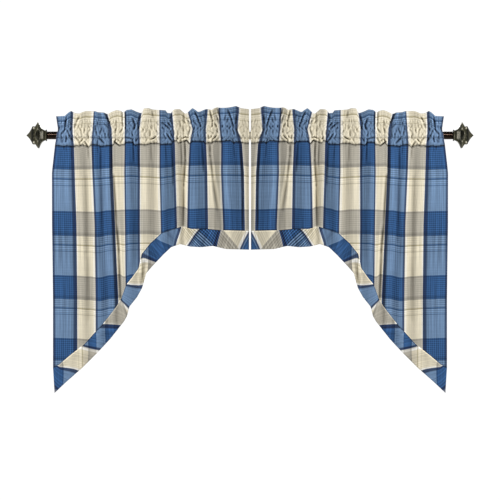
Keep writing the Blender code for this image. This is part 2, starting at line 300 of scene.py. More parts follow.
CREASES = tuple(Crease(*row) for row in (
    # the heading and the pocket
    (589, 56, 592, 20, 7.0, 3.2), (592, 20, 602, 5, 7.0, 3.0), (586, 19, 577, -1, 7.0, 3.0),
    (577, -1, 566, -19, 4.8, 3.2), (602, 5, 604, -21, 3.2, 3.4), (588, -3, 588, -21, 4.8, 3.0),
    (598, -14, 600, -24, 4.8, 2.8), (611, 23, 616, 12, 4.8, 3.0), (573, 24, 577, 13, 7.0, 3.0),
    (594, 45, 587, 49, 4.8, 3.0), (547, 58, 555, 45, 4.8, 3.4), (555, 45, 561, 25, 4.8, 3.4),
    (543, 23, 539, 3, 3.2, 3.0), (530, 23, 531, 9, 3.2, 3.0), (512, 18, 518, 12, 3.2, 2.8),
    (561, -3, 547, -19, 4.8, 3.0), (535, -12, 544, -23, 7.0, 3.0), (528, -21, 518, -36, 7.0, 3.0),
    (547, -23, 540, -34, 4.8, 3.0), (519, 8, 516, -9, 3.2, 3.0), (495, 32, 494, 20, 4.8, 3.0),
    (494, 20, 490, 3, 4.8, 3.0), (478, 15, 479, 3, 4.8, 2.8), (469, 24, 464, 3, 3.2, 3.0),
    (488, -1, 467, -23, 4.8, 3.2), (487, -11, 487, -29, 4.8, 3.0), (467, 75, 457, 55, 4.8, 3.6),
    (457, 55, 445, 36, 4.8, 3.6), (466, 38, 452, 22, 4.8, 3.0), (473, 23, 478, 10, 3.2, 3.0),
    (464, 5, 461, -7, 4.8, 2.8), (480, -12, 466, -27, 4.8, 3.0), (452, 16, 452, -9, 4.8, 3.2),
    (429, 22, 431, 9, 4.8, 2.8), (408, 22, 415, 9, 7.0, 3.0), (409, 75, 408, 50, 4.8, 3.6),
    (408, 50, 407, 28, 4.8, 3.6), (428, 48, 429, 31, 3.2, 3.0), (428, -13, 434, -20, 7.0, 2.8),
    (434, -20, 419, -32, 7.0, 2.8), (424, -13, 414, -21, 4.8, 2.8), (407, -9, 412, -24, 4.8, 3.0),
    (398, 71, 397, 30, 4.8, 3.2), (398, 27, 398, 21, 7.6, 3.4), (392, 18, 390, 9, 3.2, 2.8),
    (375, 53, 368, 33, 7.0, 3.8), (368, 33, 371, 21, 7.0, 3.6), (352, 62, 359, 38, 4.8, 3.2),
    (359, 38, 356, 20, 4.8, 3.2), (385, 21, 385, -3, 3.2, 3.0), (379, 16, 376, -3, 4.8, 3.0),
    (396, -6, 375, -12, 4.8, 3.0), (375, -12, 373, -31, 7.0, 3.0), (363, -11, 364, -21, 4.8, 3.0),
    (311, 73, 309, 58, 3.2, 3.4), (301, -4, 318, -13, 7.0, 2.8), (298, 40, 292, 33, 3.2, 3.0),
    (312, 31, 313, 16, 3.2, 2.8), (301, 24, 298, 10, 3.2, 2.8), (340, 24, 343, 10, 3.2, 2.8),
    (327, 24, 330, 16, 3.2, 2.8), (338, 4, 333, -6, 3.2, 2.8), (322, 16, 318, -3, 3.2, 3.0),
    (279, 40, 257, 21, 7.0, 3.0), (280, 24, 276, 20, 4.8, 2.8), (261, 40, 252, 26, 7.0, 3.0),
    (275, 2, 269, -10, 4.8, 2.8), (265, 4, 249, -20, 7.0, 3.0), (253, 13, 249, -6, 7.0, 3.0),
    (252, 70, 254, 46, 4.8, 3.2), (254, 46, 248, 36, 4.8, 3.2), (243, 16, 242, 1, 4.8, 3.0),
    (212, 67, 210, 40, 4.8, 3.8), (204, 53, 188, 36, 4.8, 3.4), (214, 28, 212, 6, 3.2, 3.0),
    (194, 16, 198, -4, 4.8, 3.0), (216, -9, 206, -5, 7.0, 2.8), (206, -5, 198, -8, 7.0, 2.8),
    (234, -4, 232, -12, 7.0, 3.0), (221, -12, 222, -23, 4.8, 3.0), (231, 16, 230, -3, 3.2, 3.0),
    (211, -18, 202, -16, 4.8, 2.8), (202, -16, 194, -26, 4.8, 2.8), (224, 45, 222, 28, 3.2, 3.0),
    (176, 75, 169, 60, 7.0, 3.2), (169, 60, 162, 40, 7.0, 3.2), (182, 48, 169, 32, 4.8, 3.0),
    (160, 40, 158, 28, 7.0, 3.0), (188, 46, 188, 40, 4.8, 3.0), (148, 66, 143, 56, 3.2, 3.0),
    (167, 9, 165, -3, 3.2, 3.0), (148, 15, 146, -2, 3.2, 3.0), (178, 24, 181, 4, 3.2, 3.0),
    (128, 79, 120, 47, 7.0, 3.4), (120, 47, 121, 27, 4.8, 3.2), (111, 37, 108, 29, 4.8, 2.8),
    (106, 64, 98, 39, 4.8, 3.2), (122, -2, 126, -7, 7.0, 2.6), (106, 0, 118, -11, 7.0, 2.8),
    (118, -11, 122, -26, 4.8, 2.8), (132, 0, 131, -10, 4.8, 2.8), (103, 20, 105, 5, 3.2, 3.0),
    (103, 85, 93, 44, 4.8, 3.0), (69, 79, 59, 52, 7.0, 3.4), (59, 52, 53, 25, 7.0, 3.2),
    (78, 64, 81, 47, 4.8, 3.0), (70, 54, 73, 42, 4.8, 3.0), (88, 32, 88, 27, 7.0, 2.8),
    (72, 30, 72, 27, 7.0, 2.8), (62, 29, 66, 21, 4.8, 2.6), (55, 20, 49, 2, 7.0, 2.8),
    (42, 64, 45, 39, 4.8, 3.0), (43, 20, 40, 9, 4.8, 3.0), (40, 9, 26, -11, 4.8, 3.0),
    (88, -6, 88, -10, 7.0, 2.6), (72, 17, 71, 4, 3.2, 2.8), (56, -10, 51, -26, 4.8, 2.8),
    # the drop under the pocket
    (436, -127, 427, -284, 5.0, 4.2), (427, -284, 420, -367, 6.0, 4.4),
    (420, -367, 414, -534, 5.5, 4.2), (208, -18, 206, -80, 4.4, 3.4), (206, -80, 212, -159, 4.6, 4.0),
    (212, -159, 213, -290, 4.0, 4.2), (220, -24, 217, -98, 2.4, 3.4), (316, -28, 315, -80, 2.0, 3.6),
    (128, -26, 127, -66, 5.0, 4.6), (127, -66, 119, -133, 5.0, 5.0), (119, -133, 104, -236, 3.8, 6.0),
    (525, -130, 519, -367, 2.0, 7.0), (519, -367, 519, -591, 2.0, 7.0), (477, -37, 476, -127, 3.0, 3.6),
    (476, -127, 472, -335, 2.6, 5.0), (588, -36, 588, -52, 3.0, 2.6), (594, -36, 595, -47, 2.4, 2.4),
    (488, -34, 485, -60, 2.2, 2.8), (373, -31, 371, -85, 3.4, 3.0), (357, -34, 354, -111, 3.0, 3.6),
    (152, -24, 147, -117, 3.6, 3.8), (249, -28, 245, -159, 3.6, 3.8), (28, -24, 22, -175, 3.5, 4.0),
    (22, -175, 24, -297, 3.5, 4.0), (504, -37, 502, -80, 2.0, 3.0), (443, -34, 441, -130, 3.2, 3.6),
    (269, -31, 267, -79, 2.0, 3.0), (51, -28, 49, -72, 2.4, 2.8), (571, -37, 570, -79, 2.0, 2.8),
    (517, -40, 516, -72, 2.0, 2.8), (337, -405, 346, -476, 6.5, 6.0), (82, -326, 58, -364, 3.4, 9.0),
    (262, -308, 244, -336, 2.6, 8.0),
))

FULL_DEPTH = 7.0  # of a crease that gets the darkest painted shade


# ---------------------------------------------------------------- reading the tables


def column(rows: Rows, name: str) -> np.ndarray:
    """Reads one named column of a table.

    Args:
        rows: The table.
        name: The column's name.

    Returns:
        The column as an array.
    """
    return np.array([getattr(row, name) for row in rows], float)


def eased(keys: np.ndarray, values: np.ndarray, at: np.ndarray) -> np.ndarray:
    """Reads between the rows of a table, level at each row.

    Args:
        keys: The rows' places, rising.
        values: The rows' values.
        at: The places asked for.

    Returns:
        The value at each place.
    """
    at = np.clip(at, keys[0], keys[-1])
    k = np.clip(np.searchsorted(keys, at, side="right") - 1, 0, len(keys) - 2)
    share = (at - keys[k]) / (keys[k + 1] - keys[k])
    return values[k] + (values[k + 1] - values[k]) * (1 - np.cos(np.pi * share)) / 2


def outside(at: np.ndarray, keys: np.ndarray, values: np.ndarray) -> np.ndarray:
    """Reads between the rows of a table, and runs on evenly past its ends.

    Args:
        at: The places asked for.
        keys: The rows' places, rising.
        values: The rows' values.

    Returns:
        The value at each place.
    """
    past = np.minimum(at - keys[0], 0.0) + np.maximum(at - keys[-1], 0.0)
    return np.interp(at, keys, values) + past


def ramp(low: float, high: float, share: np.ndarray | float) -> np.ndarray:
    """Blends evenly from low to high as share goes from 0 to 1.

    Args:
        low: The value at a share of 0 and under.
        high: The value at a share of 1 and over.
        share: The shares asked for.

    Returns:
        The blended values.
    """
    return low + (high - low) * np.clip(share, 0.0, 1.0)


def levelled(rows: Sequence[np.ndarray], levels: Sequence[float], at: np.ndarray) -> np.ndarray:
    """Blends from row to row, where each row holds at one level.

    Args:
        rows: Values along the cloth, a row for each level.
        levels: The levels, rising.
        at: The level asked for at each place along the cloth.

    Returns:
        The blended values.
    """
    total = rows[0].copy()
    for k, (low, high) in enumerate(zip(levels[:-1], levels[1:])):
        total += (rows[k + 1] - rows[k]) * ramp(0.0, 1.0, (at - low) / (high - low))
    return total


def draw(rng: np.random.Generator, spread: Spread) -> float:
    """Draws a number evenly from a spread."""
    return spread[0] + (spread[1] - spread[0]) * rng.random()


def on_blue(warp: np.ndarray) -> np.ndarray:
    """Tells which places across the flat cloth lie on a blue stripe."""
    return np.floor((warp - FIRST_STRIPE) / STRIPE) % 2 == 0


# ---------------------------------------------------------------- how the cloth hangs


@dataclass
class Pleats:
    """The small creases that a line of gathering stitches throws into the cloth.

    Each pleat is a narrow valley that is deepest on the stitch line, and widens and fades above and
    below it. They come from a seeded draw, so that the cloth is the same each time.
    """

    seed: int
    pitch: float  # mean spacing along the hanging cloth
    depth: float
    width: float
    above: float  # how far a pleat reaches up
    below: float  # and down
    lean: float  # sideways run of a pleat, as a share of its height
    faintest: float = 0.35  # the shallowest pleat, as a share of the depth
    unequal: float = 1.3  # power that makes shallow pleats commoner
    widths: Spread = (0.75, 1.25)  # spreads of the draws, as shares of the sizes above
    reaches: Spread = (0.5, 1.3)
    spacings: Spread = (0.55, 1.45)
    widening: float = 0.7  # how much wider a pleat is at the end of its reach
    fading: float = 1.5  # power of its fade along its reach
    ridge: float = 0.36  # height of the swell beside a pleat, as a share of its depth
    ridge_width: float = 2.6  # the swell's width and that of the painted shade, in widths of the pleat
    shade_width: float = 0.8

    def drawn(self, width: float) -> list[tuple[float, ...]]:
        """Draws the pleats across the panel.

        Args:
            width: How far out the panel reaches.

        Returns:
            A tuple for each pleat: place, depth, width, reach up, reach down, lean up, lean down.
        """
        rng = np.random.default_rng(self.seed)
        at, found = self.pitch / 2, []
        while at < width:
            strength = self.faintest + (1 - self.faintest) * rng.random() ** self.unequal
            found.append(
                (
                    at,
                    self.depth * strength,
                    self.width * draw(rng, self.widths),
                    self.above * draw(rng, self.reaches),
                    self.below * draw(rng, self.reaches),
                    self.lean * rng.normal(),
                    self.lean * rng.normal(),
                )
            )
            at += self.pitch * draw(rng, self.spacings)
        return found

    def sink(self, out: np.ndarray, over: np.ndarray, width: float) -> np.ndarray:
        """How far the pleats push the cloth towards the wall, and the shade painted along them.

        Args:
            out: Places from the middle of the pair.
            over: Heights above the stitch line there.
            width: How far out the panel reaches.

        Returns:
            An array of (push and painted shade) at each place.
        """
        total = np.zeros((2, *out.shape))
        up, down = np.maximum(over, 0.0), np.maximum(-over, 0.0)
        for at, depth, wide, above, below, lean_up, lean_down in self.drawn(width):
            across = out - at - lean_up * up - lean_down * down
            spread = wide * (1 + self.widening * (up / above + down / below))
            fade = np.exp(-((up / above) ** self.fading) - (down / below) ** self.fading)
            away = across / spread
            beside = self.ridge * np.exp(-((away / self.ridge_width) ** 2))
            total[0] += depth * fade * (np.exp(-(away**2)) - beside)
            # painted shade along the pleat
            total[1] -= depth / FULL_DEPTH * fade * np.exp(-((away / self.shade_width) ** 2))
        return total


@dataclass
class Crinkles:
    """The short, leaning creases that gathering presses between two lines of stitching."""

    seed: int = 5
    levels: tuple[float, ...] = (-16.0, -5.0, 6.0, 17.0, 30.0, 44.0)  # above the rod's axis
    pitch: float = 9.0
    length: float = 13.0
    lean: float = 0.55
    depth: float = 2.4
    width: float = 2.1
    scatter: float = 5.0  # above and below the levels
    halves: Spread = (0.3, 0.7)  # spreads of the draws, as shares of the sizes above
    depths: Spread = (0.35, 1.0)
    widths: Spread = (0.85, 1.25)
    spacings: Spread = (0.5, 1.5)

    def drawn(self, width: float) -> list[Crease]:
        """Draws the crinkles across the panel.

        Args:
            width: How far out the panel reaches.

        Returns:
            The crinkles, as rows of a crease table.
        """
        rng = np.random.default_rng(self.seed)
        found = []
        for level in self.levels:
            at = self.pitch * rng.random()
            while at < width:
                half = self.length * draw(rng, self.halves)
                shift = half * self.lean * rng.normal()
                rise = level + self.scatter * rng.normal()
                depth = self.depth * draw(rng, self.depths)
                wide = self.width * draw(rng, self.widths)
                found.append(Crease(at - shift, rise + half, at + shift, rise - half, depth, wide))
                at += self.pitch * draw(rng, self.spacings)
        return found


@dataclass
class Hang:
    """The hang of one panel: where each thread of the flat cloth comes to lie."""

    rod_radius: float
    cloth: float = 0.9  # thickness
    seat_gap: float = 0.35  # between the gathered cloth and the rod
    wrap_angles: tuple[float, ...] = (40.0, 65.0, 90.0, 115.0, 140.0)  # of its bends round the rod
    pocket_gather: float = 7.0  # how much farther a full crest stands off the rod than a valley
    pocket_bulge: float = 3.6  # of the slack cloth in the pocket, all round
    seam_groove: float = 2.8  # depth of the stitched seam
    seam_groove_width: float = 2.2
    seam_shade: float = 0.75  # painted shade in the seam, where 1 is a full crease's
    seam_line: float = 2.1  # half width of the painted shade in the seam
    gather_fade: float = 5.0  # how far under the seam the gathering is still felt
    seam_lobe: float = 2.2  # how far the pocket sags out over its seam
    lobe_rise: float = 7.0  # of the sag's fullest place above the seam
    lobe_width: float = 4.5
    pocket_layers: float = 3.4  # between the two layers at the seam
    stitch_rise: float = 22.0  # of the stitch line over the rod, above its axis
    heading_layers: float = 3.6  # between the two layers of the heading
    heading_reach: Spread = (0.36, 0.70)  # of the folds at the stitch line and at the top
    heading_steps: tuple[float, ...] = (0.0, 0.30, 0.62, 0.93)  # its bends, as shares of its height
    seam_reach: float = 0.50  # of the folds at the seam, as a share of their full reach
    full_reach_drop: float = 120.0  # under the seam, where they reach it
    seam_stand: float = 12.5  # how far before the rod's axis the seam hangs
    stand_drop: float = 360.0  # under the seam, where the cloth hangs plumb again
    hem_reach: float = 0.62  # of the folds at the hem
    hem_fade: float = 70.0  # above the hem, where the hem is no longer felt
    fold_over: float = -118.0  # weft thread at the top of the heading
    curve_steps: int = 12  # of the doubled cloth's path, between two bends
    warp_steps: int = 400  # of the search for a warp thread
    weft_rounds: int = 30  # of the search for a weft thread
    foot_rounds: int = 6  # of the search for the cut edge
    mean_foot: float = 400.0  # where that search starts
    stitch_pleats: Pleats = field(
        default_factory=lambda: Pleats(
            seed=11, pitch=8.5, depth=3.2, width=2.2, above=13.0, below=17.0, lean=0.35
        )
    )
    seam_pleats: Pleats = field(
        default_factory=lambda: Pleats(
            seed=23, pitch=11.0, depth=3.4, width=2.5, above=9.0, below=13.0, lean=0.10
        )
    )
    crinkles: Crinkles = field(default_factory=Crinkles)
    slack: float = 1.5  # size of the soft unevenness of the hanging cloth
    slack_drop: float = 60.0  # under the seam, where it has its full size
    # share, width, length and place in the noise of its two sizes of hollow
    hollows: tuple[tuple[float, ...], ...] = ((1.0, 38.0, 210.0, 4.2), (0.45, 15.0, 120.0, 9.1))
    fold_share: float = 0.62  # of a fold's full reach that the slack cloth keeps

    def __post_init__(self) -> None:
        """Works out where the stripes and folds lie in the weave."""
        self.warps = column(STRIPE_EDGES, "warp")
        self.outs = np.array([column(STRIPE_EDGES, name) for name in StripeEdge._fields[1:]])
        self.fold_warps = np.interp(column(FOLDS, "out"), self.outs[FOLD_COLUMN], self.warps)
        self.lift_warps = np.interp(column(LIFTS, "out"), self.outs[FOLD_COLUMN], self.warps)
        self.width = float(self.warps[-1])
        self.widest = float(self.outs.max())
        self.crinkled = self.crinkles.drawn(self.widest)

    @property
    def seat(self) -> float:
        """Radius of the cloth's middle where it lies tight on the rod."""
        return self.rod_radius + self.seat_gap + self.cloth / 2

    def out(self, warp: np.ndarray, drop: np.ndarray) -> np.ndarray:
        """How far out of the middle a warp thread hangs at one height.

        Args:
            warp: Places across the flat cloth.
            drop: Heights under the rod's axis.

        Returns:
            Distances from the middle of the pair.
        """
        levels = [np.interp(warp, self.warps, row) for row in self.outs]
        return levelled(levels, STRIPE_DROPS, drop)

    def warp(self, out: np.ndarray, drop: np.ndarray) -> np.ndarray:
        """Finds the warp thread that hangs at a place.

        Args:
            out: Distances from the middle of the pair.
            drop: Heights under the rod's axis.

        Returns:
            Places across the flat cloth.
        """
        fine = np.linspace(0.0, self.width, self.warp_steps)
        found = np.empty_like(out)
        for k in range(out.size):
            row = self.out(fine, np.full_like(fine, drop.flat[k]))
            found.flat[k] = np.interp(out.flat[k], row, fine)
        return found

    def reach(self, warp: np.ndarray) -> np.ndarray:
        """A fold's reach towards the room."""
        return self.fold_share * eased(self.fold_warps, column(FOLDS, "reach"), warp)

    def heading_top(self, warp: np.ndarray) -> np.ndarray:
        """The top of the heading above the rod's axis."""
        at = np.interp(column(RUFFLE_TOP, "out"), self.outs[HEADING_COLUMN], self.warps)
        return np.interp(warp, at, column(RUFFLE_TOP, "rise"))

    def pocket_drop(self, warp: np.ndarray) -> np.ndarray:
        """How far the pocket seam lies under the rod's axis."""
        at = np.interp(column(SEAM_LINE, "out"), self.outs[SEAM_COLUMN], self.warps)
        return -np.interp(warp, at, column(SEAM_LINE, "rise"))

    def gather(self, warp: np.ndarray, out: np.ndarray, rise: np.ndarray) -> np.ndarray:
        """How far the gathering presses the cloth towards the wall, and the shade painted along its
        creases and seam.

        Args:
            warp: Places across the flat cloth.
            out: Distances from the middle of the pair.
            rise: Heights above the rod's axis.

        Returns:
            An array of (push and painted light) at each place: -1 is a full crease's painted shade, and
            above 0 is painted highlight.
        """
        over_seam = rise + self.pocket_drop(warp)
        total = pressed(self.crinkled, out, rise)
        total += self.stitch_pleats.sink(out, rise - self.stitch_rise, self.widest)
        total += self.seam_pleats.sink(out, over_seam, self.widest)
        total *= np.exp(np.minimum(over_seam, 0.0) / self.gather_fade)
        total += pressed(CREASES, out, rise)
        total[0] += self.seam_groove * np.exp(-((over_seam / self.seam_groove_width) ** 2))
        # painted shade along the seam
        total[1] -= self.seam_shade * np.exp(-((over_seam / self.seam_line) ** 2))
        return total

    def drop(self, warp: np.ndarray, weft: np.ndarray) -> np.ndarray:
        """How far under the rod's axis a point of the hanging cloth lies.

        Args:
            warp: Places across the flat cloth.
            weft: Places down it from the pocket seam.

        Returns:
            Heights under the rod's axis.
        """
        level = np.interp(weft, column(WEFT_LINES, "weft"), column(WEFT_LINES, "drop"))
        lifts = [WEFT_LINES[0].drop - self.pocket_drop(warp)]
        for name in Lift._fields[1:]:
            lifts.append(eased(self.lift_warps, column(LIFTS, name), warp))
        return level - levelled(lifts, LIFT_WEFTS, weft)

    def weft(self, warp: np.ndarray, drop: np.ndarray) -> np.ndarray:
        """Finds the weft thread that hangs at a height.

        Args:
            warp: Places across the flat cloth.
            drop: Heights under the rod's axis.

        Returns:
            Places down the flat cloth from the pocket seam.
        """
        low, high = np.zeros_like(drop), np.full_like(drop, WEFT_LINES[-1].weft)
        for _ in range(self.weft_rounds):
            middle = (low + high) / 2
            under = self.drop(warp, middle) < drop
            low, high = np.where(under, middle, low), np.where(under, high, middle)
        return (low + high) / 2

    def foot(self, warp: np.ndarray) -> np.ndarray:
        """How far under the rod's axis the cut edge lies, where the band is sewn on.

        Args:
            warp: Places across the flat cloth.

        Returns:
            Heights under the rod's axis.
        """
        seam = column(RUNGS, "seam_out"), column(RUNGS, "seam_drop")
        drop = np.full_like(warp, self.mean_foot)
        for _ in range(self.foot_rounds):
            drop = np.interp(self.out(warp, drop), *seam)
        return drop

    def unevenness(self, warp: np.ndarray, drop: np.ndarray) -> np.ndarray:
        """Soft, long hollows of the hanging cloth.

        Args:
            warp: Places across the flat cloth.
            drop: Heights under the rod's axis.

        Returns:
            Pushes towards the room.
        """
        total = np.zeros(warp.shape)
        for share, width, length, place in self.hollows:
            places = zip((warp / width).flat, (drop / length).flat)
            read = [noise.noise(Vector((across, down, place))) for across, down in places]
            total += share * np.array(read).reshape(warp.shape)
        return self.slack * total

    def hanging(self, warp: np.ndarray, drop: np.ndarray) -> np.ndarray:
        """Depth of the hanging cloth, where its folds open out under the pocket seam.

        Args:
            warp: Places across the flat cloth.
            drop: Heights under the rod's axis.

        Returns:
            An array of (place towards the wall and painted shade and highlight).
        """
        under = drop - self.pocket_drop(warp)
        above = self.foot(warp) - drop
        opened = ramp(self.seam_reach, 1.0, under / self.full_reach_drop)
        flattened = ramp(self.hem_reach, 1.0, above / self.hem_fade)
        depth = -ramp(self.seam_stand, 0.0, under / self.stand_drop)
        depth -= self.reach(warp) * opened * flattened
        depth -= ramp(0.0, 1.0, under / self.slack_drop) * self.unevenness(warp, drop)
        total = self.gather(warp, self.out(warp, drop), -drop)
        total[0] += depth
        return total

    def stations(self, warp: np.ndarray, layer: Layer) -> np.ndarray:
        """The bends of the doubled cloth from its seam up to its top fold.

        Args:
            warp: Places across the flat cloth.
            layer: The front or the back layer.

        Returns:
            An array of (bend, place, depth and rise).
        """
        side = layer.value
        forward = self.reach(warp)
        reaches = column(FOLDS, "reach")
        share = (forward - reaches.min()) / (reaches.max() - reaches.min())
        radius = self.seat + self.pocket_bulge
        radius = radius + self.pocket_gather * (share if layer is Layer.FRONT else 1 - share)
        seam_depth = -self.seam_stand - self.seam_reach * forward
        if layer is Layer.BACK:
            seam_depth = seam_depth + self.pocket_layers
        rows = [(seam_depth, -self.pocket_drop(warp))]
        for angle in reversed(self.wrap_angles):
            turn = math.radians(angle)
            level = np.full_like(warp, self.seat * math.cos(turn))
            rows.append((side * radius * math.sin(turn), level))
        top = self.heading_top(warp)
        for step in self.heading_steps:
            reach = forward * ramp(*self.heading_reach, step)
            rise = self.stitch_rise + (top - self.stitch_rise) * step
            rows.append((side * self.heading_layers / 2 - reach, rise))
        return np.array([[depth, rise] for depth, rise in rows]).transpose(0, 2, 1)

    def over_fold(self, warp: np.ndarray) -> np.ndarray:
        """The very top of the heading, where the front layer turns into the back one."""
        depth = -self.heading_reach[1] * self.reach(warp)
        return np.stack([depth, self.heading_top(warp)], axis=-1)[None]

    def doubled(self, warp: np.ndarray, counts: tuple[int, int]) -> tuple[np.ndarray, np.ndarray]:
        """The pocket and heading, from the front seam over the top fold to the back seam.

        Args:
            warp: Places across the flat cloth.
            counts: Rows of the front layer and of the back layer.

        Returns:
            Arrays of (row, place, depth and rise) and of (row, place) weft.
        """
        front, back = self.stations(warp, Layer.FRONT), self.stations(warp, Layer.BACK)
        path = np.concatenate([front, self.over_fold(warp), back[::-1]])
        fine = smooth_path(path, self.curve_steps)
        step = np.linalg.norm(np.diff(fine, axis=0), axis=2)
        along = np.concatenate([np.zeros((1, len(warp))), np.cumsum(step, axis=0)])
        half = along[len(front) * self.curve_steps]
        points, wefts = [], []
        for turned, (start, end) in enumerate(((along[0], half), (half, along[-1]))):
            for share in np.linspace(0.0, 1.0, counts[turned] + 1)[1:]:
                points.append(read_paths(along, fine, start + (end - start) * share))
                wefts.append(self.fold_over * (turned + share))
        return np.array(points), np.array(wefts)

    def clear_of_rod(self, depth: np.ndarray, rise: np.ndarray) -> tuple[np.ndarray, np.ndarray]:
        """Moves cloth that a pleat pushed into the rod back out to its seat.

        Args:
            depth: Places towards the wall.
            rise: Places above the rod's axis.

        Returns:
            The same places, none of them nearer the rod's axis than its seat.
        """
        radius = np.hypot(depth, rise)
        grow = np.maximum(self.seat / np.maximum(radius, TINY), 1.0)
        return depth * grow, rise * grow


CREASE_ENDS = 0.55  # depth of a crease at its ends, as a share of that at its middle
CREASE_POWER = 1.2  # of its fall across its width
RIDGE_AT, RIDGE_WIDTH = 1.7, 0.8  # place and width of the ridges beside it, in its widths
# height of the ridges beside a crease and their painted highlight; then the width of the painted shade
# in a crease, in its widths
RIDGE_HEIGHT, RIDGE_HIGHLIGHT = 0.34, 0.40
SHADE_WIDTH = 0.85


def pressed(creases: Sequence[Crease], out: np.ndarray, rise: np.ndarray) -> np.ndarray:
    """How far the pressed creases go into the cloth, with the ridges beside them, and the shade and
    highlight painted along them.

    Args:
        creases: The creases.
        out: Distances from the middle of the pair.
        rise: Heights above the rod's axis.

    Returns:
        An array of (push towards the wall and painted light) at each place: painted shade below 0,
        painted highlight above.
    """
    total = np.zeros((2, *out.shape))
    for crease in creases:
        run_out, run_rise = crease.foot_out - crease.top_out, crease.foot_rise - crease.top_rise
        from_out, from_rise = out - crease.top_out, rise - crease.top_rise
        along = (from_out * run_out + from_rise * run_rise) / (run_out**2 + run_rise**2)
        along = np.clip(along, 0.0, 1.0)
        away = np.hypot(from_out - along * run_out, from_rise - along * run_rise) / crease.width
        strength = CREASE_ENDS + (1 - CREASE_ENDS) * np.sin(np.pi * along)
        ridge = np.exp(-(((away - RIDGE_AT) / RIDGE_WIDTH) ** 2))
        valley = np.exp(-(away**CREASE_POWER))
        total[0] += crease.depth * strength * (valley - RIDGE_HEIGHT * ridge)
        # painted shade in the crease, and painted highlight on the ridges beside it
        shade = RIDGE_HIGHLIGHT * ridge - np.exp(-((away / SHADE_WIDTH) ** 2))
        total[1] += min(crease.depth / FULL_DEPTH, 1.0) * strength * shade
    return total


def smooth_path(path: np.ndarray, steps: int) -> np.ndarray:
    """Rounds a path's bends with a Catmull-Rom curve through its stations.

    Args:
        path: An array of (station, place, coordinates).
        steps: Steps between two stations.

    Returns:
        The finer path.
    """
    ends = np.concatenate([path[:1] * 2 - path[1:2], path, path[-1:] * 2 - path[-2:-1]])
    rows = []
    for k in range(len(path) - 1):
        a, b, c, d = ends[k : k + 4]
        terms = (2 * b, c - a, 2 * a - 5 * b + 4 * c - d, 3 * b - a - 3 * c + d)
        for t in np.arange(steps) / steps:
            rows.append(sum(term * t**power for power, term in enumerate(terms)) / 2)
    rows.append(path[-1])
    return np.array(rows)


def read_paths(along: np.ndarray, path: np.ndarray, at: np.ndarray) -> np.ndarray:
    """Reads many paths at a length along each.

    Args:
        along: An array of (point, place), the length up to each point.
        path: An array of (point, place, coordinates).
        at: A length for each place.

    Returns:
        An array of (place, coordinates).
    """
    found = np.empty((path.shape[1], path.shape[2]))
    for k in range(path.shape[1]):
        for axis in range(path.shape[2]):
            found[k, axis] = np.interp(at[k], along[:, k], path[:, k, axis])
    return found


# ---------------------------------------------------------------- meshes

HALF_GRID = 0.5  # half the width of a sheet's grid before it is moved, in metres


def finished(bm: bmesh.types.BMesh, name: str) -> bpy.types.Mesh:
    """Turns a bmesh into a mesh, and lets it go.

    Args:
        bm: The bmesh.
        name: The mesh's name.

    Returns:
        The mesh.
    """
    mesh = bpy.data.meshes.new(name)
    bm.to_mesh(mesh)
    bm.free()
    return mesh


def cloth_mesh(name: str, points: np.ndarray, weave: np.ndarray, side: Side) -> bpy.types.Mesh:
    """Makes a sheet from a grid that is moved onto the cloth's points.

    Args:
        name: The mesh's name.
        points: An array of (across, along, coordinates and painted shade and highlight), with X as
        distance out, in millimetres.
        weave: An array of (across, along, warp and weft) in millimetres.
        side: The half of the pair.

    Returns:
        The mesh in metres, with the weave's places in its UV map, in metres too, and the painted shade
        and highlight in its fold attribute.
    """
    across, along = points.shape[:2]
    bm = bmesh.new()
    bmesh.ops.create_grid(bm, x_segments=across - 1, y_segments=along - 1, size=HALF_GRID)
    places = weave * MM
    uv = bm.loops.layers.uv.new("weave")
    fold = bm.verts.layers.float.new("fold")
    for vertex in bm.verts:
        i = round((vertex.co.x + HALF_GRID) * (across - 1))
        j = round((vertex.co.y + HALF_GRID) * (along - 1))
        out, depth, rise, tone = points[i, j]
        vertex.co = (side.value * out * MM, depth * MM, rise * MM)
        # the fold attribute holds painted crease shade and painted ridge highlight
        vertex[fold] = min(max(tone, -1.0), 1.0)
        for loop in vertex.link_loops:
            loop[uv].uv = places[i, j]
    mesh = finished(bm, name)
    mesh.shade_smooth()
    return mesh


def add_piece(name: str, mesh: bpy.types.Mesh, finish: bpy.types.Material) -> bpy.types.Object:
    """Puts a mesh in the scene as a named piece.

    Args:
        name: The piece's name.
        mesh: Its mesh, in the model's frame.
        finish: Its material.

    Returns:
        The new object.
    """
    mesh.materials.clear()
    mesh.materials.append(finish)
    piece = bpy.data.objects.new(name, mesh)
    bpy.context.scene.collection.objects.link(piece)
    return piece


def add_thickness(piece: bpy.types.Object, thickness: float) -> None:
    """Gives a sheet its thickness, half to each side.

    Args:
        piece: The sheet.
        thickness: In millimetres.
    """
    solidify = piece.modifiers.new("thickness", "SOLIDIFY")
    solidify.thickness = thickness * MM
    solidify.offset = 0.0
    solidify.use_even_offset = False


# ---------------------------------------------------------------- node trees


class Threads(NamedTuple):
    """A band of neighbouring threads in the plaid's repeat, in metres."""

    start: float
    end: float
    soft: float  # width of its edges


class ByStripe(NamedTuple):
    """A strength on a cream stripe and on a blue one."""

    cream: float
    blue: float


